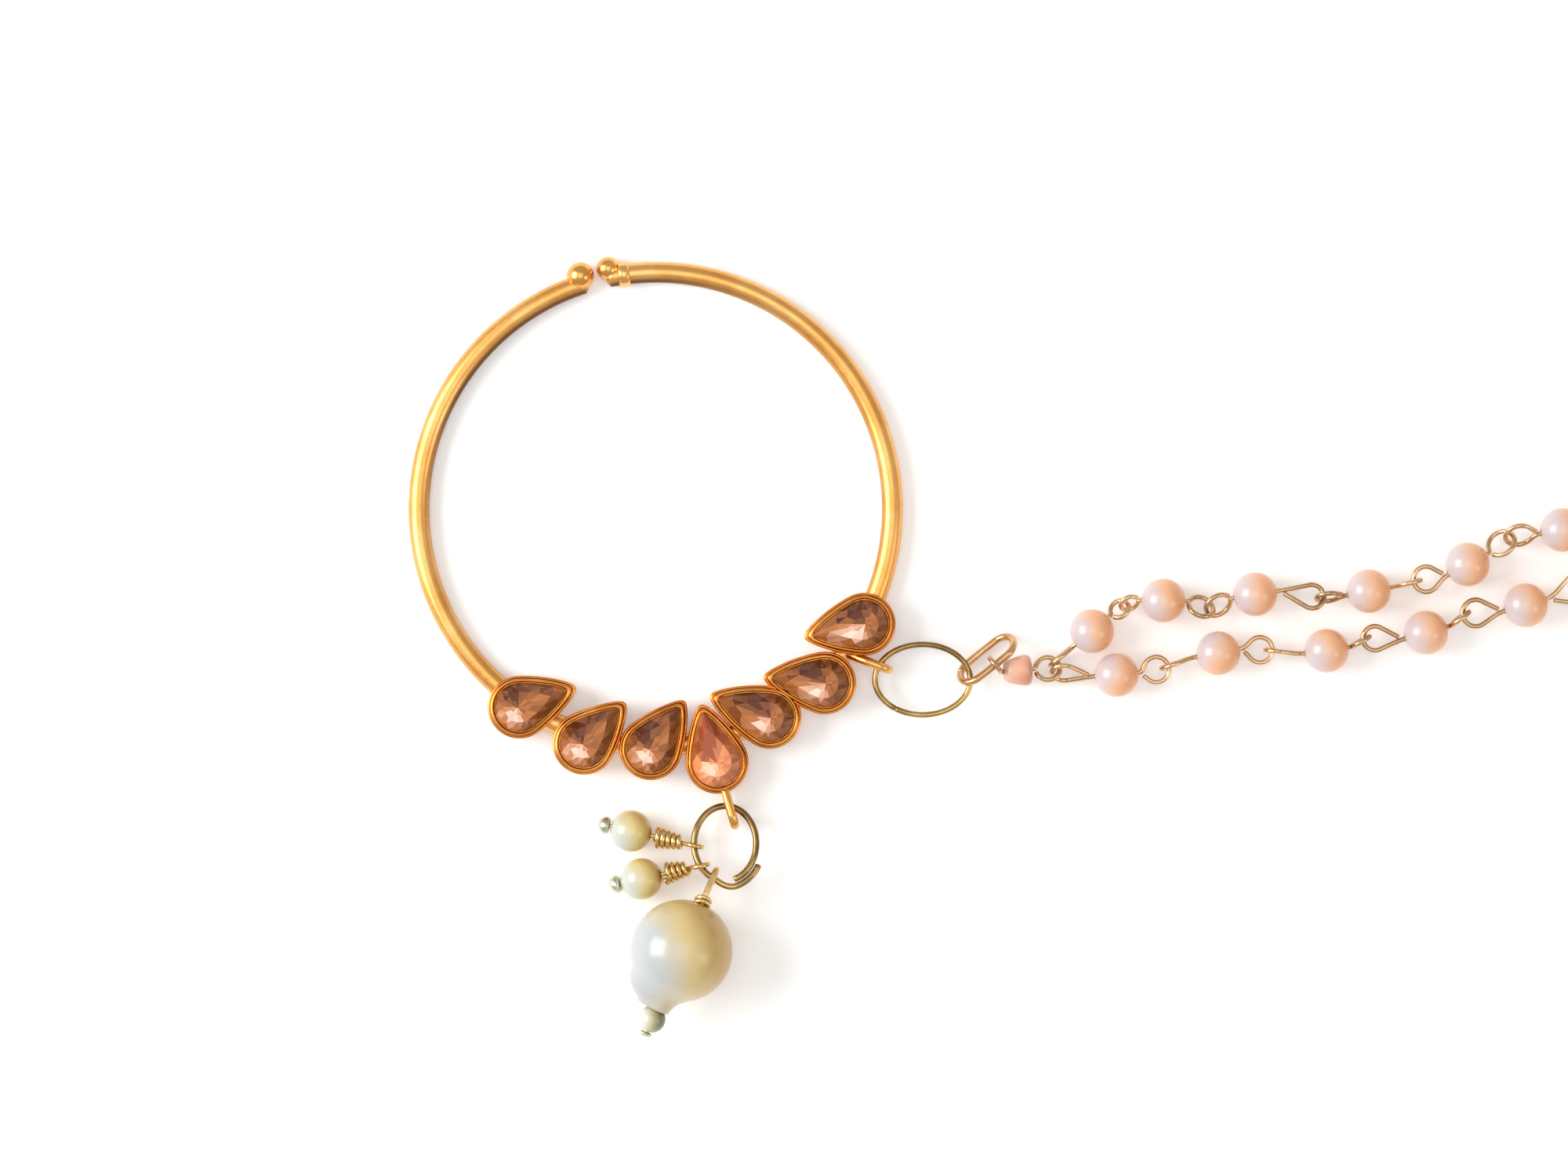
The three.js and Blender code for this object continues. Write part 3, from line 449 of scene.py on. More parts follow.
def give_painted_light(piece, centre, name):
    """Painted light and shade on a pearl: 1 on its lit side and 0 across from it."""
    turn = (sum(ord(letter) for letter in name) * 37) % (2 * PEARL_LIGHT_TURN + 1) - PEARL_LIGHT_TURN
    lit_side = Matrix.Rotation(math.radians(turn), 3, "Z") @ Vector(PEARL_LIT_SIDE).normalized()
    tones = [0.5 + 0.5 * (vert.co - centre).normalized().dot(lit_side) for vert in piece.data.vertices]
    set_tones(piece, "POINT", tones)


def round_profile(radius, bore, rings=30):
    """A drilled ball's section, from one mouth of the bore round the outside and back along the bore."""
    start = math.asin(bore * BORE_START_SHARE / radius)
    profile = []
    for ring in range(rings + 1):
        angle = start + (math.pi - 2 * start) * ring / rings
        profile.append((radius * math.sin(angle), -radius * math.cos(angle)))
    mouth = radius * math.cos(start) - BORE_CHAMFER
    profile.append((bore, mouth))
    profile.append((bore, -mouth))
    return profile


# Materials
def new_material(name):
    material = bpy.data.materials.new(name)
    material.use_nodes = True
    return material, material.node_tree, material.node_tree.nodes["Principled BSDF"]


def add_noise(tree, scale, detail, roughness=0.55):
    coords = tree.nodes.new("ShaderNodeTexCoord")
    noise = tree.nodes.new("ShaderNodeTexNoise")
    noise.inputs["Scale"].default_value = scale
    noise.inputs["Detail"].default_value = detail
    noise.inputs["Roughness"].default_value = roughness
    tree.links.new(coords.outputs["Object"], noise.inputs["Vector"])
    return noise


def add_ramp(tree, source, stops):
    ramp = tree.nodes.new("ShaderNodeValToRGB")
    tree.links.new(source, ramp.inputs["Fac"])
    elements = ramp.color_ramp.elements
    while len(elements) < len(stops):
        elements.new(0.5)
    for element, (where, colour) in zip(elements, stops):
        element.position = where
        element.color = (*colour, 1)
    return ramp


def add_range(tree, source, low, high):
    node = tree.nodes.new("ShaderNodeMapRange")
    node.inputs["To Min"].default_value = low
    node.inputs["To Max"].default_value = high
    tree.links.new(source, node.inputs["Value"])
    return node


def add_bump(tree, source, strength, distance):
    bump = tree.nodes.new("ShaderNodeBump")
    bump.inputs["Strength"].default_value = strength
    bump.inputs["Distance"].default_value = distance
    tree.links.new(source, bump.inputs["Height"])
    return bump


# The tone attribute carries painted light and shade: on the pearls and beads, on the stones' facets and on
# the hoop's inner side.
def add_tone(tree):
    tone = tree.nodes.new("ShaderNodeAttribute")
    tone.attribute_name = "tone"
    return tone


def add_clouded_tone(tree, scale, share):
    """The piece's painted light tone, raised by a share of soft clouds."""
    tone = add_tone(tree)
    cloud = add_noise(tree, scale=scale, detail=3)
    drift = tree.nodes.new("ShaderNodeMath")
    drift.operation = "MULTIPLY_ADD"
    tree.links.new(cloud.outputs["Fac"], drift.inputs[0])
    drift.inputs[1].default_value = share
    tree.links.new(tone.outputs["Fac"], drift.inputs[2])
    return drift


def gold_material(name, dark, mid, light, rough, painted_shade=None):
    """Plated brass: slow colour drift, fine polishing marks, a little wear in the gloss, and painted shade
    where a shade colour is given.
    """
    material, tree, shader = new_material(name)
    drift = add_noise(tree, scale=260, detail=3)
    ramp = add_ramp(tree, drift.outputs["Fac"], [(0.32, dark), (0.5, mid), (0.68, light)])
    colour = ramp.outputs["Color"]
    # Painted shade: the tone attribute mixes in a dark shade colour.
    if painted_shade:
        tone = add_tone(tree)
        mix = tree.nodes.new("ShaderNodeMix")
        mix.data_type = "RGBA"
        tree.links.new(tone.outputs["Fac"], mix.inputs["Factor"])
        tree.links.new(colour, mix.inputs["A"])
        mix.inputs["B"].default_value = (*painted_shade, 1)
        colour = mix.outputs["Result"]
    tree.links.new(colour, shader.inputs["Base Color"])
    shader.inputs["Metallic"].default_value = 1
    fine = add_noise(tree, scale=2600, detail=5, roughness=0.65)
    gloss = add_range(tree, fine.outputs["Fac"], low=rough * 0.6, high=rough * 1.5)
    tree.links.new(gloss.outputs["Result"], shader.inputs["Roughness"])
    bump = add_bump(tree, fine.outputs["Fac"], strength=0.12, distance=0.00003)
    tree.links.new(bump.outputs["Normal"], shader.inputs["Normal"])
    return material


def pearl_material(name, deep, body, pale, rim):
    """Coated pearl: deep, body and pale colours by painted light and shade, soft clouds, a sheen and a soft
    top layer.
    """
    material, tree, shader = new_material(name)
    drift = add_clouded_tone(tree, scale=380, share=0.24)
    ramp = add_ramp(tree, drift.outputs["Value"], [(0.4, deep), (0.7, body), (1.0, pale)])
    tree.links.new(ramp.outputs["Color"], shader.inputs["Base Color"])
    shader.inputs["Roughness"].default_value = 0.36
    shader.inputs["Coat Weight"].default_value = 0.6
    shader.inputs["Coat Roughness"].default_value = 0.18
    shader.inputs["Sheen Weight"].default_value = 0.08
    shader.inputs["Sheen Roughness"].default_value = 0.4
    shader.inputs["Sheen Tint"].default_value = (*rim, 1)
    fine = add_noise(tree, scale=1500, detail=4)
    bump = add_bump(tree, fine.outputs["Fac"], strength=0.06, distance=0.00003)
    tree.links.new(bump.outputs["Normal"], shader.inputs["Normal"])
    return material


def stone_material(name, deep, middle, bright):
    """Foiled stone: each facet carries a painted tone, painted light and reflection, under a glassy top
    layer.
    """
    material, tree, shader = new_material(name)
    drift = add_clouded_tone(tree, scale=900, share=0.2)
    ramp = add_ramp(tree, drift.outputs["Value"], [(0.12, deep), (0.56, middle), (1.0, bright)])
    tree.links.new(ramp.outputs["Color"], shader.inputs["Base Color"])
    shader.inputs["Metallic"].default_value = 0.2
    shader.inputs["Roughness"].default_value = 0.3
    shader.inputs["Specular IOR Level"].default_value = 0.1
    shader.inputs["Coat Weight"].default_value = 0.35
    shader.inputs["Coat Roughness"].default_value = 0.03
    return material


GOLD = gold_material("warm_gold", (0.80, 0.37, 0.09), (0.88, 0.45, 0.13), (0.94, 0.54, 0.19), 0.24)
# Colour of the painted shade on the hoop's inner side, used by the hoop's gold
INNER_SHADE_COLOUR = (0.15, 0.055, 0.012)
HOOP_GOLD = gold_material(
    "hoop_gold", (0.82, 0.39, 0.10), (0.89, 0.46, 0.14), (0.95, 0.54, 0.19), 0.33, INNER_SHADE_COLOUR
)
CUP_GOLD = gold_material("cup_gold", (0.50, 0.17, 0.03), (0.66, 0.26, 0.05), (0.84, 0.40, 0.10), 0.22)
ROSE_GOLD = gold_material("rose_gold", (0.50, 0.27, 0.11), (0.66, 0.38, 0.18), (0.84, 0.54, 0.30), 0.26)
PALE_GOLD = gold_material("pale_gold", (0.50, 0.32, 0.17), (0.66, 0.43, 0.24), (0.84, 0.57, 0.35), 0.24)
PIN_GOLD = gold_material("pin_gold", (0.62, 0.40, 0.14), (0.76, 0.53, 0.22), (0.88, 0.67, 0.33), 0.22)
DARK_GOLD = gold_material("dark_gold", (0.20, 0.12, 0.05), (0.38, 0.24, 0.09), (0.62, 0.43, 0.17), 0.22)
HEAD_METAL = gold_material("pin_head_metal", (0.42, 0.44, 0.32), (0.60, 0.62, 0.48), (0.82, 0.82, 0.70), 0.24)
CREAM = pearl_material(
    "cream_pearl", (0.50, 0.29, 0.06), (0.66, 0.51, 0.22), (0.45, 0.48, 0.49), (0.62, 0.52, 0.30)
)
SMALL_CREAM = pearl_material(
    "small_cream", (0.60, 0.39, 0.10), (0.70, 0.56, 0.23), (0.54, 0.56, 0.50), (0.62, 0.54, 0.34)
)
PEACH = pearl_material(
    "peach_pearl", (0.82, 0.36, 0.16), (0.86, 0.46, 0.25), (0.62, 0.52, 0.53), (0.68, 0.42, 0.31)
)
DEEP_PEACH = pearl_material(
    "deep_peach", (0.62, 0.25, 0.15), (0.76, 0.37, 0.24), (0.78, 0.48, 0.36), (0.7, 0.4, 0.28)
)
STONE = stone_material("champagne_stone", (0.10, 0.024, 0.008), (0.46, 0.16, 0.045), (0.98, 0.66, 0.54))
PINK_STONE = stone_material("peach_stone", (0.34, 0.08, 0.03), (0.84, 0.32, 0.14), (0.98, 0.66, 0.48))
END_BEAD_PEARL = pearl_material(
    "end_bead", (0.14, 0.14, 0.07), (0.42, 0.38, 0.20), (0.66, 0.66, 0.58), (0.4, 0.38, 0.24)
)


# Hoop
BALL_CIRCLE = HOOP_RADIUS + BALL_OFFSET
LEFT_BALL_ANGLE = OPENING_ANGLE + math.degrees((LEFT_BALL + TOUCH_GAP / 2) / BALL_CIRCLE)
RIGHT_BALL_ANGLE = OPENING_ANGLE - math.degrees((RIGHT_BALL + TOUCH_GAP / 2) / BALL_CIRCLE)


def hoop_arc(start, end):
    points = []
    for step in range(HOOP_STEPS + 1):
        angle = start + (end - start) * step / HOOP_STEPS
        points.append(at_height(HOOP_CENTRE + heading(angle) * HOOP_RADIUS, HOOP_HEIGHT))
    return points


def ball(name, angle, radius, material):
    centre = at_height(HOOP_CENTRE + heading(angle) * BALL_CIRCLE, radius)
    profile = []
    for ring in range(ARC_STEPS + 1):
        turn = math.pi * ring / ARC_STEPS
        profile.append((max(BALL_TIP, radius * math.sin(turn)), -radius * math.cos(turn)))
    return lathe(name, profile, centre, UP, material, sides=48)


def give_inner_shade(piece):
    """Painted shade on the hoop's inner side, strongest at its top left."""
    tones = []
    for vert in piece.data.vertices:
        out = at_height(vert.co / MM - HOOP_CENTRE, 0)
        inward = max(-1, min(1, (HOOP_RADIUS - out.length) / HOOP_WIRE))
        edge = max(0, min(1, (inward - INNER_SHADE_START) / INNER_SHADE_BLEND))
        off = math.degrees(out.angle(heading(INNER_SHADE_ANGLE)))
        near = max(0, min(1, (INNER_SHADE_SPREAD - off) / INNER_SHADE_FADE))
        tones.append(edge * (INNER_SHADE_LEAST + (1 - INNER_SHADE_LEAST) * near))
    set_tones(piece, "POINT", tones)


def make_hoop():
    arc = hoop_arc(LEFT_BALL_ANGLE, RIGHT_BALL_ANGLE + 360)
    hoop_wire = wire("hoop_wire", arc, HOOP_WIRE, HOOP_GOLD, sides=36)
    # Painted shade along the hoop's inner side
    give_inner_shade(hoop_wire)
    place(hoop_wire, "gold", "nose_hoop")
    place(ball("closing_ball_left", LEFT_BALL_ANGLE, LEFT_BALL, GOLD), "gold", "nose_hoop")
    place(ball("closing_ball_right", RIGHT_BALL_ANGLE, RIGHT_BALL, GOLD), "gold", "nose_hoop")
    collar_end = RIGHT_BALL_ANGLE - math.degrees(RIGHT_BALL * COLLAR_BALL_SHARE / HOOP_RADIUS)
    middle = collar_end - math.degrees(COLLAR_LENGTH / 2 / HOOP_RADIUS)
    centre = at_height(HOOP_CENTRE + heading(middle) * HOOP_RADIUS, COLLAR_RADIUS)
    half = COLLAR_LENGTH / 2
    flat = half * COLLAR_FLAT_SHARE
    inner = HOOP_WIRE * COLLAR_INNER_SHARE
    edge = COLLAR_RADIUS * COLLAR_EDGE_SHARE
    profile = [(inner, -half), (edge, -half), (COLLAR_RADIUS, -flat)]
    profile += [(COLLAR_RADIUS, flat), (edge, half), (inner, half)]
    collar = lathe("hoop_collar", profile, centre, heading(middle + 90), GOLD, sides=40)
    place(collar, "gold", "nose_hoop")


def pear_outline(reach, inset, round_steps, side_steps, soften=0):
    """Pear outline about its broad end's centre, tip along +X, moved in by an inset, its tip softened."""
    bulge = CUP_SIDE_RADIUS - CUP_RADIUS
    cosine = (2 * CUP_SIDE_RADIUS * CUP_RADIUS - CUP_RADIUS ** 2 - reach ** 2) / (2 * reach * bulge)
    turn = math.acos(max(-0.9, min(0.9, cosine)))
    side_x = -bulge * math.cos(turn)
    side_y = -bulge * math.sin(turn)
    side_radius = CUP_SIDE_RADIUS - inset
    tip_angle = math.asin(-side_y / side_radius)
    upper = []
    for step in range(side_steps):
        angle = tip_angle + (turn - tip_angle) * step / side_steps
        upper.append([side_x + side_radius * math.cos(angle), side_y + side_radius * math.sin(angle)])
    upper[0][1] = 0
    radius = CUP_RADIUS - inset
    round_end = []
    for step in range(round_steps + 1):
        angle = turn + (2 * math.pi - 2 * turn) * step / round_steps
        round_end.append([radius * math.cos(angle), radius * math.sin(angle)])
    lower = [[x, -y] for x, y in reversed(upper[1:])]
    outline = upper + round_end + lower
    for _ in range(soften):
        before = [list(point) for point in outline]
        for index in range(-TIP_POINTS, TIP_POINTS + 1):
            near, here, far = before[index - 1], before[index], before[index + 1]
            outline[index] = [(near[0] + 2 * here[0] + far[0]) / 4, (near[1] + 2 * here[1] + far[1]) / 4]
    return outline


LEDGE_TOP = CUP_BASE + LEDGE_HEIGHT
RIM_TOP = LEDGE_TOP + RIM_HEIGHT
POCKET_FLOOR = RIM_TOP - POCKET_DEPTH
POCKET_INSET = LEDGE_WIDTH + RIM_WIDTH


def cup_matrix(cup):
    centre = HOOP_CENTRE + heading(cup["at"]) * (HOOP_RADIUS + cup["out"] * CUP_RADIUS)
    return Matrix.Translation(centre) @ Matrix.Rotation(math.radians(cup["tip"]), 4, "Z")


def cup_section():
    """The cup wall from its outer foot over the ledge, the groove and the rim to its floor."""
    bead = LEDGE_WIDTH / 2
    lip = RIM_WIDTH / 2
    foot = bead * CUP_FOOT_SHARE
    section = [(foot, CUP_BASE), (0, CUP_BASE + foot)]
    for step in range(RIM_STEPS + 1):
        angle = math.pi * step / RIM_STEPS
        section.append((bead - bead * math.cos(angle), LEDGE_TOP - bead + bead * math.sin(angle)))
    section.append((LEDGE_WIDTH, LEDGE_TOP - bead * GROOVE_SHARE))
    for step in range(RIM_STEPS + 1):
        angle = math.pi * step / RIM_STEPS
        section.append((LEDGE_WIDTH + lip - lip * math.cos(angle), RIM_TOP - lip + lip * math.sin(angle)))
    section.append((POCKET_INSET, POCKET_FLOOR))
    return section


def make_cup(number, cup):
    matrix = cup_matrix(cup)
    reach = cup["reach"] * CUP_RADIUS
    rows = []
    verts, faces = [], []
    for inset, height in cup_section():
        row = []
        for x, y in pear_outline(reach, inset, CUP_ROUND_STEPS, CUP_SIDE_STEPS, soften=TIP_PASSES):
            verts.append(matrix @ Vector((x, y, height)))
            row.append(len(verts) - 1)
        rows.append(row)
    for low, high in zip(rows, rows[1:]):
        for index in range(len(low)):
            after = (index + 1) % len(low)
            faces.append((low[index], low[after], high[after], high[index]))
    faces.append(tuple(reversed(rows[0])))
    faces.append(tuple(rows[-1]))
    cup_piece = finish_mesh(f"cup_{number}", verts, faces, CUP_GOLD, sharp=48)
    place(cup_piece, "gold", "nose_hoop")


# Stone facets: girdle, crown in two rows, and a table whose spokes carry a painted reflection of a foiled
# back; every facet's tone is painted light by which way it faces
def glow_at(direction):
    """Painted light: the tone of a facet facing this way across the stone, as the share of light it is
    painted to give back.
    """
    angle = math.atan2(direction.y, direction.x)
    broad = STONE_LIGHT_SHARE * math.cos(angle - math.radians(STONE_LIGHT_ANGLE))
    return STONE_GLOW + broad + STONE_GLOW_SHARE * math.cos(2 * (angle - math.radians(STONE_GLOW_ANGLE)))


def make_stone(number, cup):
    matrix = cup_matrix(cup)
    turned = matrix.to_3x3()
    inset = POCKET_INSET + SEAT_GAP * STONE_SIDE_SHARE
    girdle = pear_outline(cup["reach"] * CUP_RADIUS, inset, STONE_ROUND_STEPS, STONE_SIDE_STEPS)
    count = len(girdle)
    middle = Vector((sum(p[0] for p in girdle) / count, sum(p[1] for p in girdle) / count))
    bottom = POCKET_FLOOR + SEAT_GAP
    edge_height = RIM_TOP - SEAT_GAP
    top = RIM_TOP + STONE_RISE

    def ring(share, height, between_corners):
        row = []
        for index, point in enumerate(girdle):
            after = girdle[(index + 1) % count]
            x, y = point
            if between_corners:
                x = (point[0] + after[0]) / 2
                y = (point[1] + after[1]) / 2
            row.append(Vector((middle.x + (x - middle.x) * share, middle.y + (y - middle.y) * share, height)))
        return row

    low = ring(GIRDLE_FOOT_SHARE, bottom, False)
    edge = ring(1, edge_height, False)
    crown = ring(CROWN_SHARE, edge_height + (top - edge_height) * CROWN_HEIGHT_SHARE, True)
    table = ring(TABLE_SHARE, top, False)
    verts, faces, tones = [], [], []

    def face(kind, corners, glow=0, flicker=0):
        first = len(verts)
        verts.extend(matrix @ corner for corner in corners)
        faces.append(tuple(range(first, first + len(corners))))
        facet = FACETS[kind]
        tones.append(facet["glow"] * glow + facet["base"] + facet["flicker"] * flicker)

    culet = Vector((middle.x - CULET_BACK, middle.y, top))
    for index in range(count):
        after = (index + 1) % count
        before = (index - 1) % count
        # Each facet is painted lighter or darker by which way it faces across the stone: painted light and
        # reflection.
        out = turned @ (edge[index] - Vector((middle.x, middle.y, edge_height)))
        glow = glow_at(out)
        flicker = math.sin(index * FLICKER_STEP + number * FLICKER_TURN)
        face("side", [low[index], low[after], edge[after], edge[index]])
        face("lower", [edge[index], edge[after], crown[index]], glow, flicker)
        face("kite", [edge[index], crown[index], table[index], crown[before]], glow, flicker)
        face("star", [crown[index], table[after], table[index]], glow, flicker)
        inner = table[index].lerp(culet, 0.5)
        inner_after = table[after].lerp(culet, 0.5)
        face("table", [table[index], table[after], inner_after, inner], glow, flicker)
        face("spoke", [inner, inner_after, culet], glow, flicker)
    face("back", list(reversed(low)))
    material = PINK_STONE if number - 1 == LOWEST_CUP else STONE
    piece = finish_mesh(f"cut_stone_{number}", verts, faces, material, smooth=False)
    set_tones(piece, "FACE", tones)
    bm = bmesh.new()
    bm.from_mesh(piece.data)
    bmesh.ops.remove_doubles(bm, verts=bm.verts, dist=1e-7)
    bmesh.ops.recalc_face_normals(bm, faces=bm.faces)
    bm.to_mesh(piece.data)
    bm.free()
    place(piece, "stone", f"stone_{number}")


# Bent wires
def eye_route(root, direction, length, root_height, root_spread, eye_height):
    round_end = EYE_HALF_HEIGHT
    straight = length - EYE_WIRE - round_end
    bend = root + direction * straight * EYE_BEND_SHARE
    bend_height = round_end * EYE_BEND_HEIGHT_SHARE
    points = [at_height(root, root_height + root_spread)]
    points.append(at_height(bend, eye_height + bend_height))
    for step in range(ARC_STEPS + 1):
        angle = math.pi / 2 - math.pi * step / ARC_STEPS
        reach = straight + round_end * math.cos(angle)
        points.append(at_height(root + direction * reach, eye_height + round_end * math.sin(angle)))
    points.append(at_height(bend, eye_height - bend_height))
    points.append(at_height(root, root_height - root_spread))
    return smooth_route(points)


def make_eyes():
    cup = CUPS[LOWEST_CUP]
    direction = heading(cup["tip"] + 180)
    centre = HOOP_CENTRE + heading(cup["at"]) * (HOOP_RADIUS + cup["out"] * CUP_RADIUS)
    root = centre + direction * (CUP_RADIUS - EYE_WIRE)
    route = eye_route(root, direction, DROP_EYE_LENGTH, LEDGE_TOP - EYE_WIRE, EYE_WIRE / 2, EYE_HEIGHT)
    place(wire("drop_eye", route, EYE_WIRE, GOLD, sides=20), "gold", "nose_hoop")
    chain_root = HOOP_CENTRE + heading(CHAIN_EYE_ANGLE) * HOOP_RADIUS
    turn = heading(CHAIN_EYE_TURN)
    route = eye_route(chain_root, turn, CHAIN_EYE_LENGTH, HOOP_HEIGHT, EYE_WIRE / 2, EYE_HEIGHT)
    place(wire("chain_eye", route, EYE_WIRE, GOLD, sides=20), "gold", "nose_hoop")
    return root, direction, chain_root, turn


def eye_loop(neck, direction, across, far, wanted, wire_radius, steps=30):
    """A loop from the neck to the far point and back, stopped short of the neck by nearly a wire."""
    radius = min(wanted, (far - neck).length / EYE_ROOM)
    centre = far - direction * radius
    span = (centre - neck).length
    opening = math.acos(max(-1, min(1, radius / span)))
    half = math.pi / 2 - opening
    points = []
    for step in range(steps + 1):
        angle = math.pi - opening - (2 * math.pi - 2 * opening) * step / steps
        points.append(centre + direction * radius * math.cos(angle) + across * radius * math.sin(angle))
    clear = 2 * wire_radius * CLOSED_SHARE / math.sin(min(math.pi / 2, 2 * half))
    room = (points[-1] - neck).length
    if room > clear:
        points.append(points[-1] + between(points[-1], neck) * (room - clear))
    return points


def passing(joint, direction, own_wire, other_wire):
    """Where a loop's middle line turns back behind the wire that it holds."""
    return joint + direction * (own_wire + other_wire + LOOP_GAP)


def open_oval(centre, direction, across, half_long, half_wide, slit_at, steps=90, straight=False):
    """An oval ring with a thin slit, round all over or, as a slot, with straight long sides."""
    slit = math.degrees(VISIBLE_SLIT / min(half_long, half_wide))
    points = []
    for step in range(steps + 1):
        angle = math.radians(slit_at + slit / 2 + (360 - slit) * step / steps)
        slide = (half_long - half_wide) * max(-1, min(1, STRAIGHT_SIDE * math.cos(angle)))
        reach = slide + half_wide * math.cos(angle) if straight else half_long * math.cos(angle)
        points.append(centre + direction * reach + across * half_wide * math.sin(angle))
    return points


# Drop
DROP_LONG = Vector((0, -math.cos(math.radians(DROP_RING_TILT)), math.sin(math.radians(DROP_RING_TILT))))


def drop_ring_point(centre, angle):
    """A place on the drop's ring, whose end runs outside its start."""
    share = max(0, min(1, (angle - 360 - (OVERLAP_START - OVERLAP_RAMP)) / OVERLAP_RAMP))
    offset = share * share * (3 - 2 * share) * (2 * DROP_RING_WIRE + OVERLAP_GAP)
    right = (DROP_RING_WIDTH + offset) * math.cos(math.radians(angle))
    down = -(DROP_RING_LENGTH + offset) * math.sin(math.radians(angle))
    return centre + Vector((right, 0, 0)) + DROP_LONG * down


def coil_points(start, axis, across, wire_radius, length, spread=0, per_turn=22):
    """Turns laid side by side back along the axis, wider by the spread at their end."""
    side = axis.cross(across).normalized()
    pitch = 2 * wire_radius + COIL_GAP
    count = int(length / pitch * per_turn)
    points = []
    for step in range(count + 1):
        radius = pitch + spread * step / count
        angle = step / per_turn * 2 * math.pi
        point = start - axis * pitch * step / per_turn
        points.append(point - across * radius * math.cos(angle) + side * radius * math.sin(angle))
    return points


def tail_profile():
    """The large pearl's section: the ball, its tail in one smooth curve, the lip and the bore."""
    profile = []
    start = math.asin(DROP_BORE * DROP_BORE_START_SHARE / DROP_PEARL)
    leave = math.radians(TAIL_LEAVE)
    for ring in range(TAIL_BALL_STEPS + 1):
        angle = start + (leave - start) * ring / TAIL_BALL_STEPS
        profile.append((DROP_PEARL * math.sin(angle), -DROP_PEARL * math.cos(angle)))
    shoulder = Vector(profile[-1])
    mouth = Vector((DROP_PEARL * TAIL_MOUTH_SHARE, TAIL_MOUTH))
    pull = TAIL_PULL * (mouth - shoulder).length
    leaving = Vector((math.cos(leave), math.sin(leave))) * pull
    arriving = Vector(TAIL_ARRIVES) * pull
    for step in range(1, TAIL_STEPS + 1):
        t = step / TAIL_STEPS
        point = shoulder * (2 * t ** 3 - 3 * t ** 2 + 1) + leaving * (t ** 3 - 2 * t ** 2 + t)
        point += mouth * (3 * t ** 2 - 2 * t ** 3) + arriving * (t ** 3 - t ** 2)
        profile.append((point.x, point.y))
    for share, beyond in TAIL_LIP:
        profile.append((mouth.x * share, mouth.y + beyond))
    profile.append((DROP_BORE, mouth.y - TAIL_LIP[-1][1]))
    profile.append((DROP_BORE, profile[0][1]))
    return profile


def swell_tail(piece, centre, back):
    """The tail swells to one side only, towards the side that the part's tail swells to."""
    left = back.cross(UP)
    shoulder = -DROP_PEARL * math.cos(math.radians(TAIL_LEAVE))
    for vert in piece.data.vertices:
        offset = vert.co / MM - centre
        axial = offset.dot(back)
        out = offset - back * axial
        if out.length > DROP_BORE + TOUCH_GAP / 3:
            reach = max(0, min(1, (axial - shoulder) / (TAIL_MOUTH - shoulder)))
            swell = TAIL_SWELL * math.sin(reach * math.pi * TAIL_SWELL_SHARE) ** TAIL_SWELL_POWER
            side = max(0, out.normalized().dot(left))
            vert.co += (left * swell + back * TAIL_LEAN * reach * reach) * side * MM


def on_axis(point, start, axis):
    return start + axis * (point - start).dot(axis)


def pin_head(name, start, direction, radius, length):
    profile = [(PIN_HEAD_TIP, 0), (radius * PIN_HEAD_FOOT_SHARE, 0)]
    for step in range(HEAD_STEPS + 1):
        angle = math.pi / 2 * step / HEAD_STEPS
        reach = length * (PIN_HEAD_STEM_SHARE + (1 - PIN_HEAD_STEM_SHARE) * math.sin(angle))
        profile.append((max(PIN_HEAD_TIP, radius * math.cos(angle)), reach))
    return lathe(name, profile, start, direction, HEAD_METAL, sides=32)


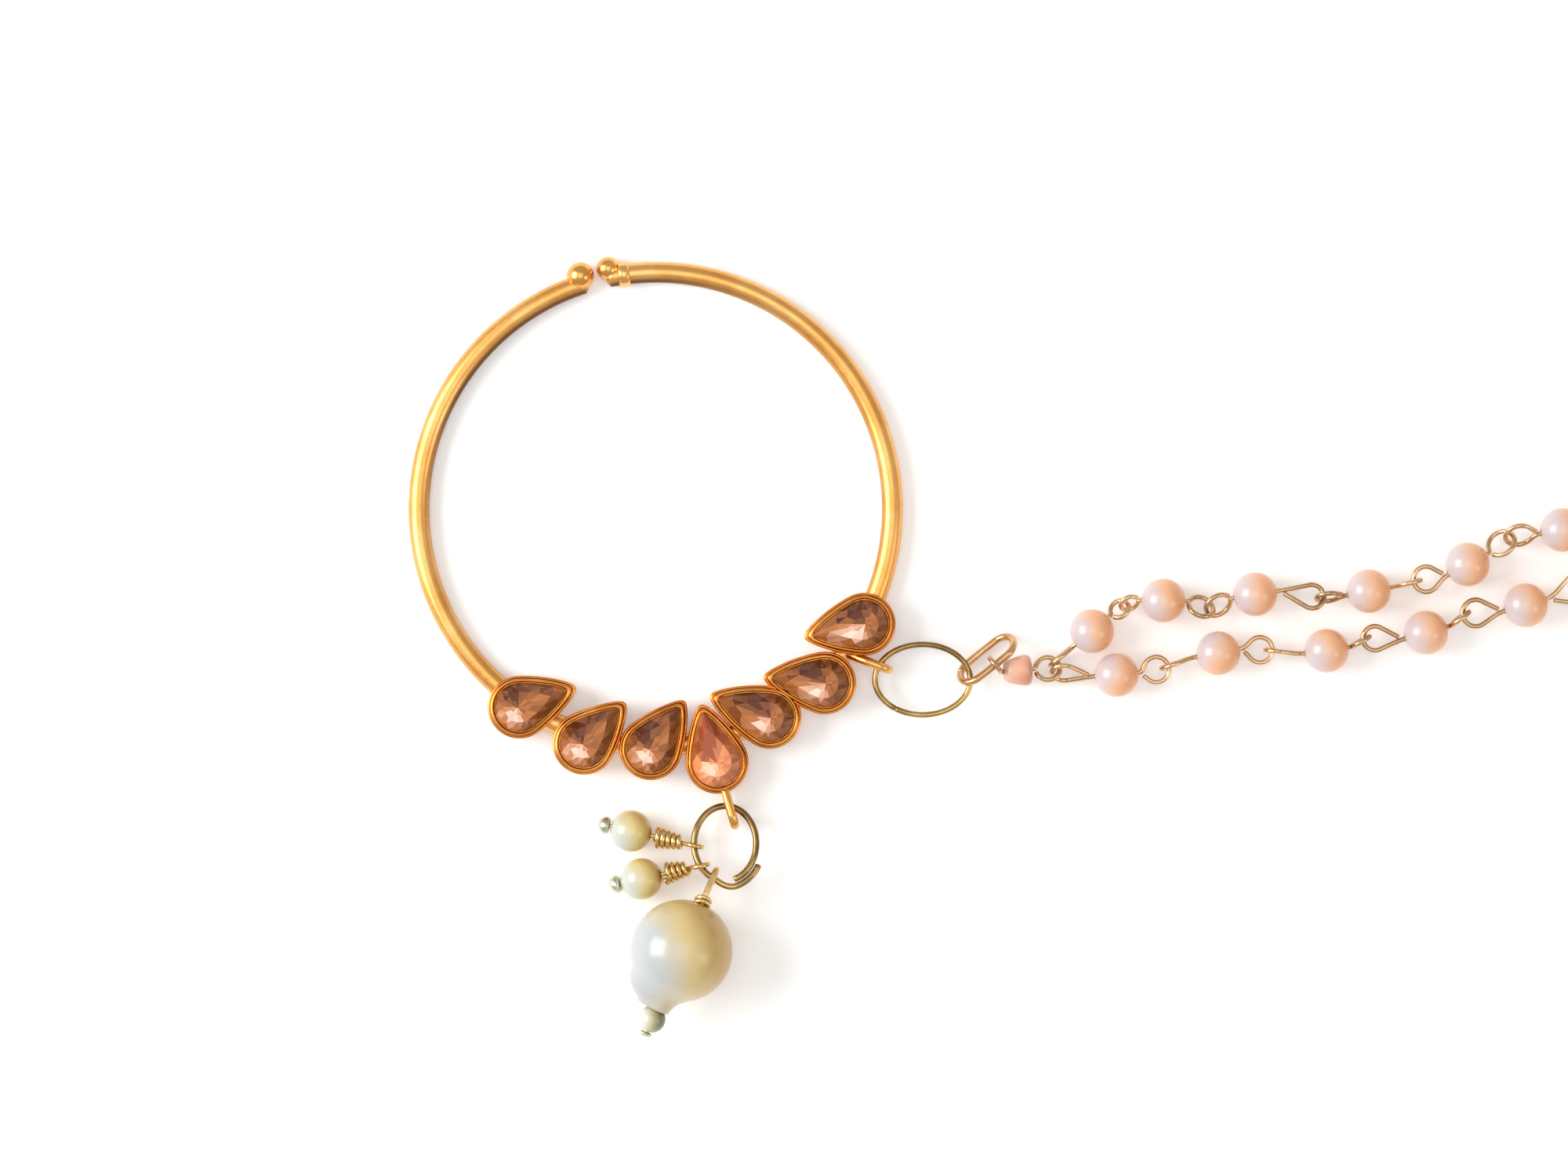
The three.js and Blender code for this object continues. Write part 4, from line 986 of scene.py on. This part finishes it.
def make_drop(eye_root, eye_direction):
    reach = DROP_EYE_LENGTH - 2 * EYE_WIRE - DROP_RING_WIRE
    middle = at_height(eye_root + eye_direction * reach * DROP_RING_REACH_SHARE, EYE_HEIGHT)
    ring_centre = middle - drop_ring_point(Vector((0, 0, 0)), DROP_RING_TOP)
    points = []
    for step in range(RING_STEPS + 1):
        angle = OVERLAP_START + (360 + OVERLAP_END - OVERLAP_START) * step / RING_STEPS
        points.append(drop_ring_point(ring_centre, angle))
    place(wire("jump_ring", points, DROP_RING_WIRE, DARK_GOLD, sides=18), "dark_gold", "drop_ring")

    pearl_at = node_centre("drop_pearl")
    bead_at = node_centre("drop_end_bead")
    hold = drop_ring_point(ring_centre, DROP_RING_HOLD)
    pearl = spot(DROP_PEARL_AT, pearl_at.z)
    back = at_height(bead_at - pearl, 0).normalized()
    large = lathe("large_pearl", tail_profile(), pearl, back, CREAM, sides=96)
    swell_tail(large, pearl, back)
    place(large, "cream_pearl", "drop_pearl")
    end_bead = lathe("tail_bead", round_profile(END_BEAD, DROP_BORE), bead_at, back, END_BEAD_PEARL)
    place(end_bead, "cream_pearl", "drop_end_bead")
    neck = pearl - back * (DROP_PEARL + DROP_PIN_WIRE / 2)
    axis = between(neck, hold)
    far = passing(hold, axis, DROP_PIN_WIRE, DROP_RING_WIRE)
    pin_end = bead_at + back * (END_BEAD + DROP_PIN_WIRE)
    route = [pin_end, pearl, neck]
    route += eye_loop(neck, axis, rolled(axis, 90), far, PIN_LOOP, DROP_PIN_WIRE)
    place(wire("large_pin", smooth_route(route), DROP_PIN_WIRE, PIN_GOLD, sides=16), "pale_gold", "drop_pin")
    wrap_start = neck + axis * (far - neck).length * WRAP_START_SHARE
    wrap = coil_points(wrap_start, axis, rolled(axis, 90), WRAP_WIRE, WRAP_LENGTH)
    wrap = [point + (point - on_axis(point, neck, axis)) * WRAP_WIDENING for point in wrap]
    place(wire("large_pin_wrap", wrap, WRAP_WIRE, PIN_GOLD), "pale_gold", "drop_pin")
    head_start = bead_at + back * (END_BEAD * END_BEAD_HEAD_SHARE + TOUCH_GAP / 3)
    head_radius = DROP_PIN_WIRE * DROP_HEAD_SHARE
    head_length = DROP_PIN_WIRE * DROP_HEAD_LENGTH_SHARE
    head = pin_head("large_pin_head", head_start, back, head_radius, head_length)
    place(head, "pale_gold", "drop_pin")

    for number, hold_angle in enumerate(SMALL_HOLDS, 1):
        small = node_centre(f"small_pearl_{number}")
        hold = drop_ring_point(ring_centre, hold_angle)
        axis = between(small, hold)
        profile = round_profile(SMALL_PEARL, SMALL_BORE)
        bead = lathe(f"little_pearl_{number}", profile, small, axis, SMALL_CREAM)
        place(bead, "cream_pearl", f"small_pearl_{number}")
        far = passing(hold, axis, SMALL_PIN_WIRE, DROP_RING_WIRE)
        loop = PIN_LOOP * SMALL_LOOP_SHARE
        neck = far - axis * (2 * loop + SMALL_PIN_WIRE * 2)
        head_start = small - axis * (SMALL_PEARL + TOUCH_GAP / 3)
        across = rolled(axis, 90)
        route = [head_start - axis * SMALL_HEAD_LENGTH / 2, small, neck]
        route += eye_loop(neck, axis, across, far, loop, SMALL_PIN_WIRE)[:-1]
        coil = (neck - small).length - SMALL_PEARL - SMALL_PIN_WIRE - TOUCH_GAP / 2
        route += coil_points(neck, axis, across, SMALL_PIN_WIRE, coil, COIL_SPREAD)
        pin = wire(f"little_pin_{number}", smooth_route(route, passes=1), SMALL_PIN_WIRE, PIN_GOLD)
        place(pin, "pale_gold", f"small_pin_{number}")
        head = pin_head(f"little_pin_head_{number}", head_start, -axis, SMALL_HEAD, SMALL_HEAD_LENGTH)
        place(head, "pale_gold", f"small_pin_{number}")


# Chain
def oval_ring_point(centre, angle):
    x = CHAIN_RING_WIDTH * math.cos(math.radians(angle))
    y = CHAIN_RING_HEIGHT * math.sin(math.radians(angle))
    return centre + Vector((x, y, 0))


def make_links(chain_root, turn):
    reach = CHAIN_EYE_LENGTH - 2 * EYE_WIRE - CHAIN_RING_WIRE - TOUCH_GAP
    hold = at_height(chain_root + turn * reach, EYE_HEIGHT)
    ring_centre = hold - oval_ring_point(Vector((0, 0, 0)), CHAIN_RING_HOLD)
    points = open_oval(
        ring_centre, RIGHT, NORTH, CHAIN_RING_WIDTH, CHAIN_RING_HEIGHT, CHAIN_RING_SLIT_ANGLE
    )
    place(wire("oval_jump_ring", points, CHAIN_RING_WIRE, DARK_GOLD, sides=18), "dark_gold", "chain_ring")

    axis = heading(OVAL_TURN)
    across = rolled(axis, OVAL_ROLL)
    oval_hold = oval_ring_point(ring_centre, CHAIN_RING_EXIT)
    centre = oval_hold + axis * (OVAL_LENGTH - OVAL_WIRE - CHAIN_RING_WIRE - TOUCH_GAP)
    points = open_oval(centre, axis, across, OVAL_LENGTH, OVAL_WIDTH, OVAL_SLIT_ANGLE, straight=True)
    link = wire("long_link", smooth_route(points, passes=1), OVAL_WIRE, ROSE_GOLD, sides=18)
    place(link, "gold", "oval_link")

    first_hold = centre + axis * OVAL_LENGTH * FIRST_HOLD_SHARE - across * OVAL_WIDTH
    bead_at = at_height(node_centre("first_bead"), CHAIN_PEARL)
    bead_axis = heading(FIRST_BEAD_TURN)
    corners = []
    for share, length_share in FIRST_BEAD_OUTLINE:
        corners.append(Vector((FIRST_BEAD_RADIUS * share, FIRST_BEAD_LENGTH * length_share, 0)))
    rounded = [(point.x, point.y) for point in smooth_route(corners)]
    profile = [(CHAIN_BORE, corners[0].y)] + rounded + [(CHAIN_BORE, corners[-1].y)]
    place(lathe("cone_bead", profile, bead_at, bead_axis, DEEP_PEACH), "chain_pearl", "first_bead")

    neck = bead_at + bead_axis * (FIRST_BEAD_LENGTH / 2 + CHAIN_WIRE)
    back = bead_at - bead_axis * (FIRST_BEAD_LENGTH / 2 + CHAIN_WIRE)
    back_axis = between(back, first_hold)
    back_across = axis.cross(back_axis).normalized()
    far = passing(first_hold, back_axis, CHAIN_WIRE, OVAL_WIRE)
    back_loop = eye_loop(back, back_axis, back_across, far, CHAIN_LOOP * FIRST_BACK_SHARE, CHAIN_WIRE)
    loop_far = neck + bead_axis * (CHAIN_LOOP * 2 + CHAIN_WIRE / 2)
    loop_across = rolled(bead_axis, FIRST_LOOP_ROLL)
    route = list(reversed(back_loop)) + [back, bead_at, neck]
    route += eye_loop(neck, bead_axis, loop_across, loop_far, CHAIN_LOOP, CHAIN_WIRE)
    place(wire("first_wire", smooth_route(route), CHAIN_WIRE, PALE_GOLD), "pale_gold", "first_link")
    loop_centre = loop_far - bead_axis * CHAIN_LOOP

    def on_loop(angle):
        turned = bead_axis * math.cos(math.radians(angle)) + loop_across * math.sin(math.radians(angle))
        return loop_centre + turned * CHAIN_LOOP

    return on_loop


def link_end(pearl, joint, loop, other_wire, axis):
    """A link's neck and loop on one side of its pearl; two links meet half a gap each past their joint."""
    roll, share = loop
    neck = pearl + axis * (CHAIN_PEARL + CHAIN_WIRE)
    direction = between(neck, joint)
    reach = CHAIN_WIRE + LOOP_GAP / 2 if other_wire is None else CHAIN_WIRE + other_wire + LOOP_GAP
    far = joint + direction * reach
    return [neck] + eye_loop(neck, direction, rolled(direction, roll), far, CHAIN_LOOP * share, CHAIN_WIRE)


def make_strand(name, route, first_joint, last_wire):
    for number in range(1, len(route)):
        row, following = route[number - 1], route[number]
        pearl = node_centre(f"{name}_pearl_{number}")
        start = first_joint if number == 1 else spot(row["joint"], CHAIN_PEARL)
        end = spot(following["joint"], CHAIN_PEARL)
        axis = at_height(between(start, pearl) + between(pearl, end), 0).normalized()
        bead = lathe(f"{name}_bead_{number}", round_profile(CHAIN_PEARL, CHAIN_BORE), pearl, axis, PEACH)
        place(bead, "chain_pearl", f"{name}_pearl_{number}")
        roll, share = row["after"]
        start_wire = CHAIN_WIRE if number == 1 else None
        end_wire = last_wire if number == len(route) - 1 else None
        back = link_end(pearl, start, (-roll, share), start_wire, -axis)
        ahead = link_end(pearl, end, following["before"], end_wire, axis)
        line = smooth_route(list(reversed(back)) + [pearl] + ahead)
        piece = wire(f"{name}_wire_{number}", line, CHAIN_WIRE, PALE_GOLD)
        place(piece, "pale_gold", f"{name}_link_{number}")


def make_end():
    upper_end = spot(UPPER_ROUTE[-1]["joint"], CHAIN_PEARL)
    centre = upper_end + heading(END_RING_TURN) * END_RING
    points = open_oval(centre, RIGHT, NORTH, END_RING, END_RING, END_RING_SLIT_ANGLE)
    place(wire("gathering_ring", points, END_RING_WIRE, GOLD, sides=20), "gold", "end_ring")
    lower_end = spot(LOWER_ROUTE[-1]["joint"], CHAIN_PEARL)
    axis = between(lower_end, centre)
    far = centre - axis * (END_RING - END_RING_WIRE - JOINING_WIRE - LOOP_GAP)
    half = (far - lower_end).length / 2
    middle = (lower_end + far) / 2
    points = open_oval(middle, axis, UP, half, JOINING_HEIGHT, JOINING_SLIT_ANGLE, straight=True)
    piece = wire("joining_oval", smooth_route(points, passes=1), JOINING_WIRE, PALE_GOLD)
    place(piece, "pale_gold", "joining_ring")
    hold = centre + RIGHT * END_RING
    loop_far = hold - RIGHT * (END_RING_WIRE + HOOK_WIRE + LOOP_GAP)
    neck = loop_far + RIGHT * (2 * HOOK_EYE + HOOK_WIRE * 2)
    eye = eye_loop(neck, -RIGHT, UP, loop_far, HOOK_EYE, HOOK_WIRE)
    route = list(reversed(eye)) + [neck]
    bend = neck + RIGHT * HOOK_LENGTH + Vector((0, -HOOK_BEND, 0))
    for step in range(ARC_STEPS + 1):
        angle = math.pi / 2 - math.pi * step / ARC_STEPS
        route.append(bend + Vector((HOOK_BEND * math.cos(angle), HOOK_BEND * math.sin(angle), 0)))
    route.append(bend + Vector((-HOOK_LENGTH * HOOK_RETURN_SHARE, -HOOK_BEND * HOOK_LEAN_SHARE, 0)))
    place(wire("plain_hook", smooth_route(route), HOOK_WIRE, GOLD, sides=20), "gold", "hair_hook")


make_hoop()
for index, cup_row in enumerate(CUPS, 1):
    make_cup(index, cup_row)
    make_stone(index, cup_row)
drop_root, drop_direction, chain_eye_root, chain_eye_turn = make_eyes()
make_drop(drop_root, drop_direction)
first_loop = make_links(chain_eye_root, chain_eye_turn)
make_strand("upper", UPPER_ROUTE, first_loop(FIRST_LOOP_UPPER), END_RING_WIRE)
make_strand("lower", LOWER_ROUTE, first_loop(FIRST_LOOP_LOWER), JOINING_WIRE)
make_end()


# Floor, light and camera
def make_floor():
    material, _, shader = new_material("pale_floor")
    shader.inputs["Base Color"].default_value = (0.93, 0.93, 0.93, 1)
    shader.inputs["Roughness"].default_value = 0.8
    shader.inputs["Specular IOR Level"].default_value = 0.2
    shader.inputs["Emission Color"].default_value = (1, 1, 1, 1)
    shader.inputs["Emission Strength"].default_value = 0.16
    half = FLOOR_HALF
    corners = [(-half, -half, 0), (half, -half, 0), (half, half, 0), (-half, half, 0)]
    floor = finish_mesh("pale_floor", corners, [(0, 1, 2, 3)], material, smooth=False)
    floor.location.z = -FLOOR_DROP * MM


def make_area(row):
    data = bpy.data.lights.new(row["name"], "AREA")
    data.shape = "RECTANGLE"
    data.size = row["size"][0] * MM
    data.size_y = row["size"][1] * MM
    data.energy = row["energy"]
    data.color = row["colour"]
    light = bpy.data.objects.new(row["name"], data)
    bpy.context.scene.collection.objects.link(light)
    light.location = Vector(row["at"]) * MM
    aim = (HOOP_CENTRE + Vector(LIGHT_AIM)) * MM
    light.rotation_euler = (aim - light.location).to_track_quat("-Z", "Y").to_euler()


def make_light():
    world = bpy.data.worlds.new("studio")
    bpy.context.scene.world = world
    world.use_nodes = True
    background = world.node_tree.nodes["Background"]
    background.inputs["Color"].default_value = (1, 0.99, 0.975, 1)
    background.inputs["Strength"].default_value = 0.55
    for row in LIGHTS:
        make_area(row)


def make_camera():
    data = bpy.data.cameras.new("photo_camera")
    data.lens = 120
    data.sensor_width = 36
    camera = bpy.data.objects.new("photo_camera", data)
    bpy.context.scene.collection.objects.link(camera)
    right = (PHOTO_SIZE[0] / 2 - HOOP_PIXEL[0]) / PIXELS_PER_MM
    down = (PHOTO_SIZE[1] / 2 - HOOP_PIXEL[1]) / PIXELS_PER_MM
    width = PHOTO_SIZE[0] / PIXELS_PER_MM
    distance = width * data.lens / data.sensor_width
    camera.location = Vector((HOOP_CENTRE.x + right, HOOP_CENTRE.y - down, distance + CHAIN_PEARL)) * MM
    camera.rotation_euler = (0, 0, 0)
    bpy.context.scene.camera = camera


make_floor()
make_light()
make_camera()
bpy.context.scene.view_settings.view_transform = "Standard"
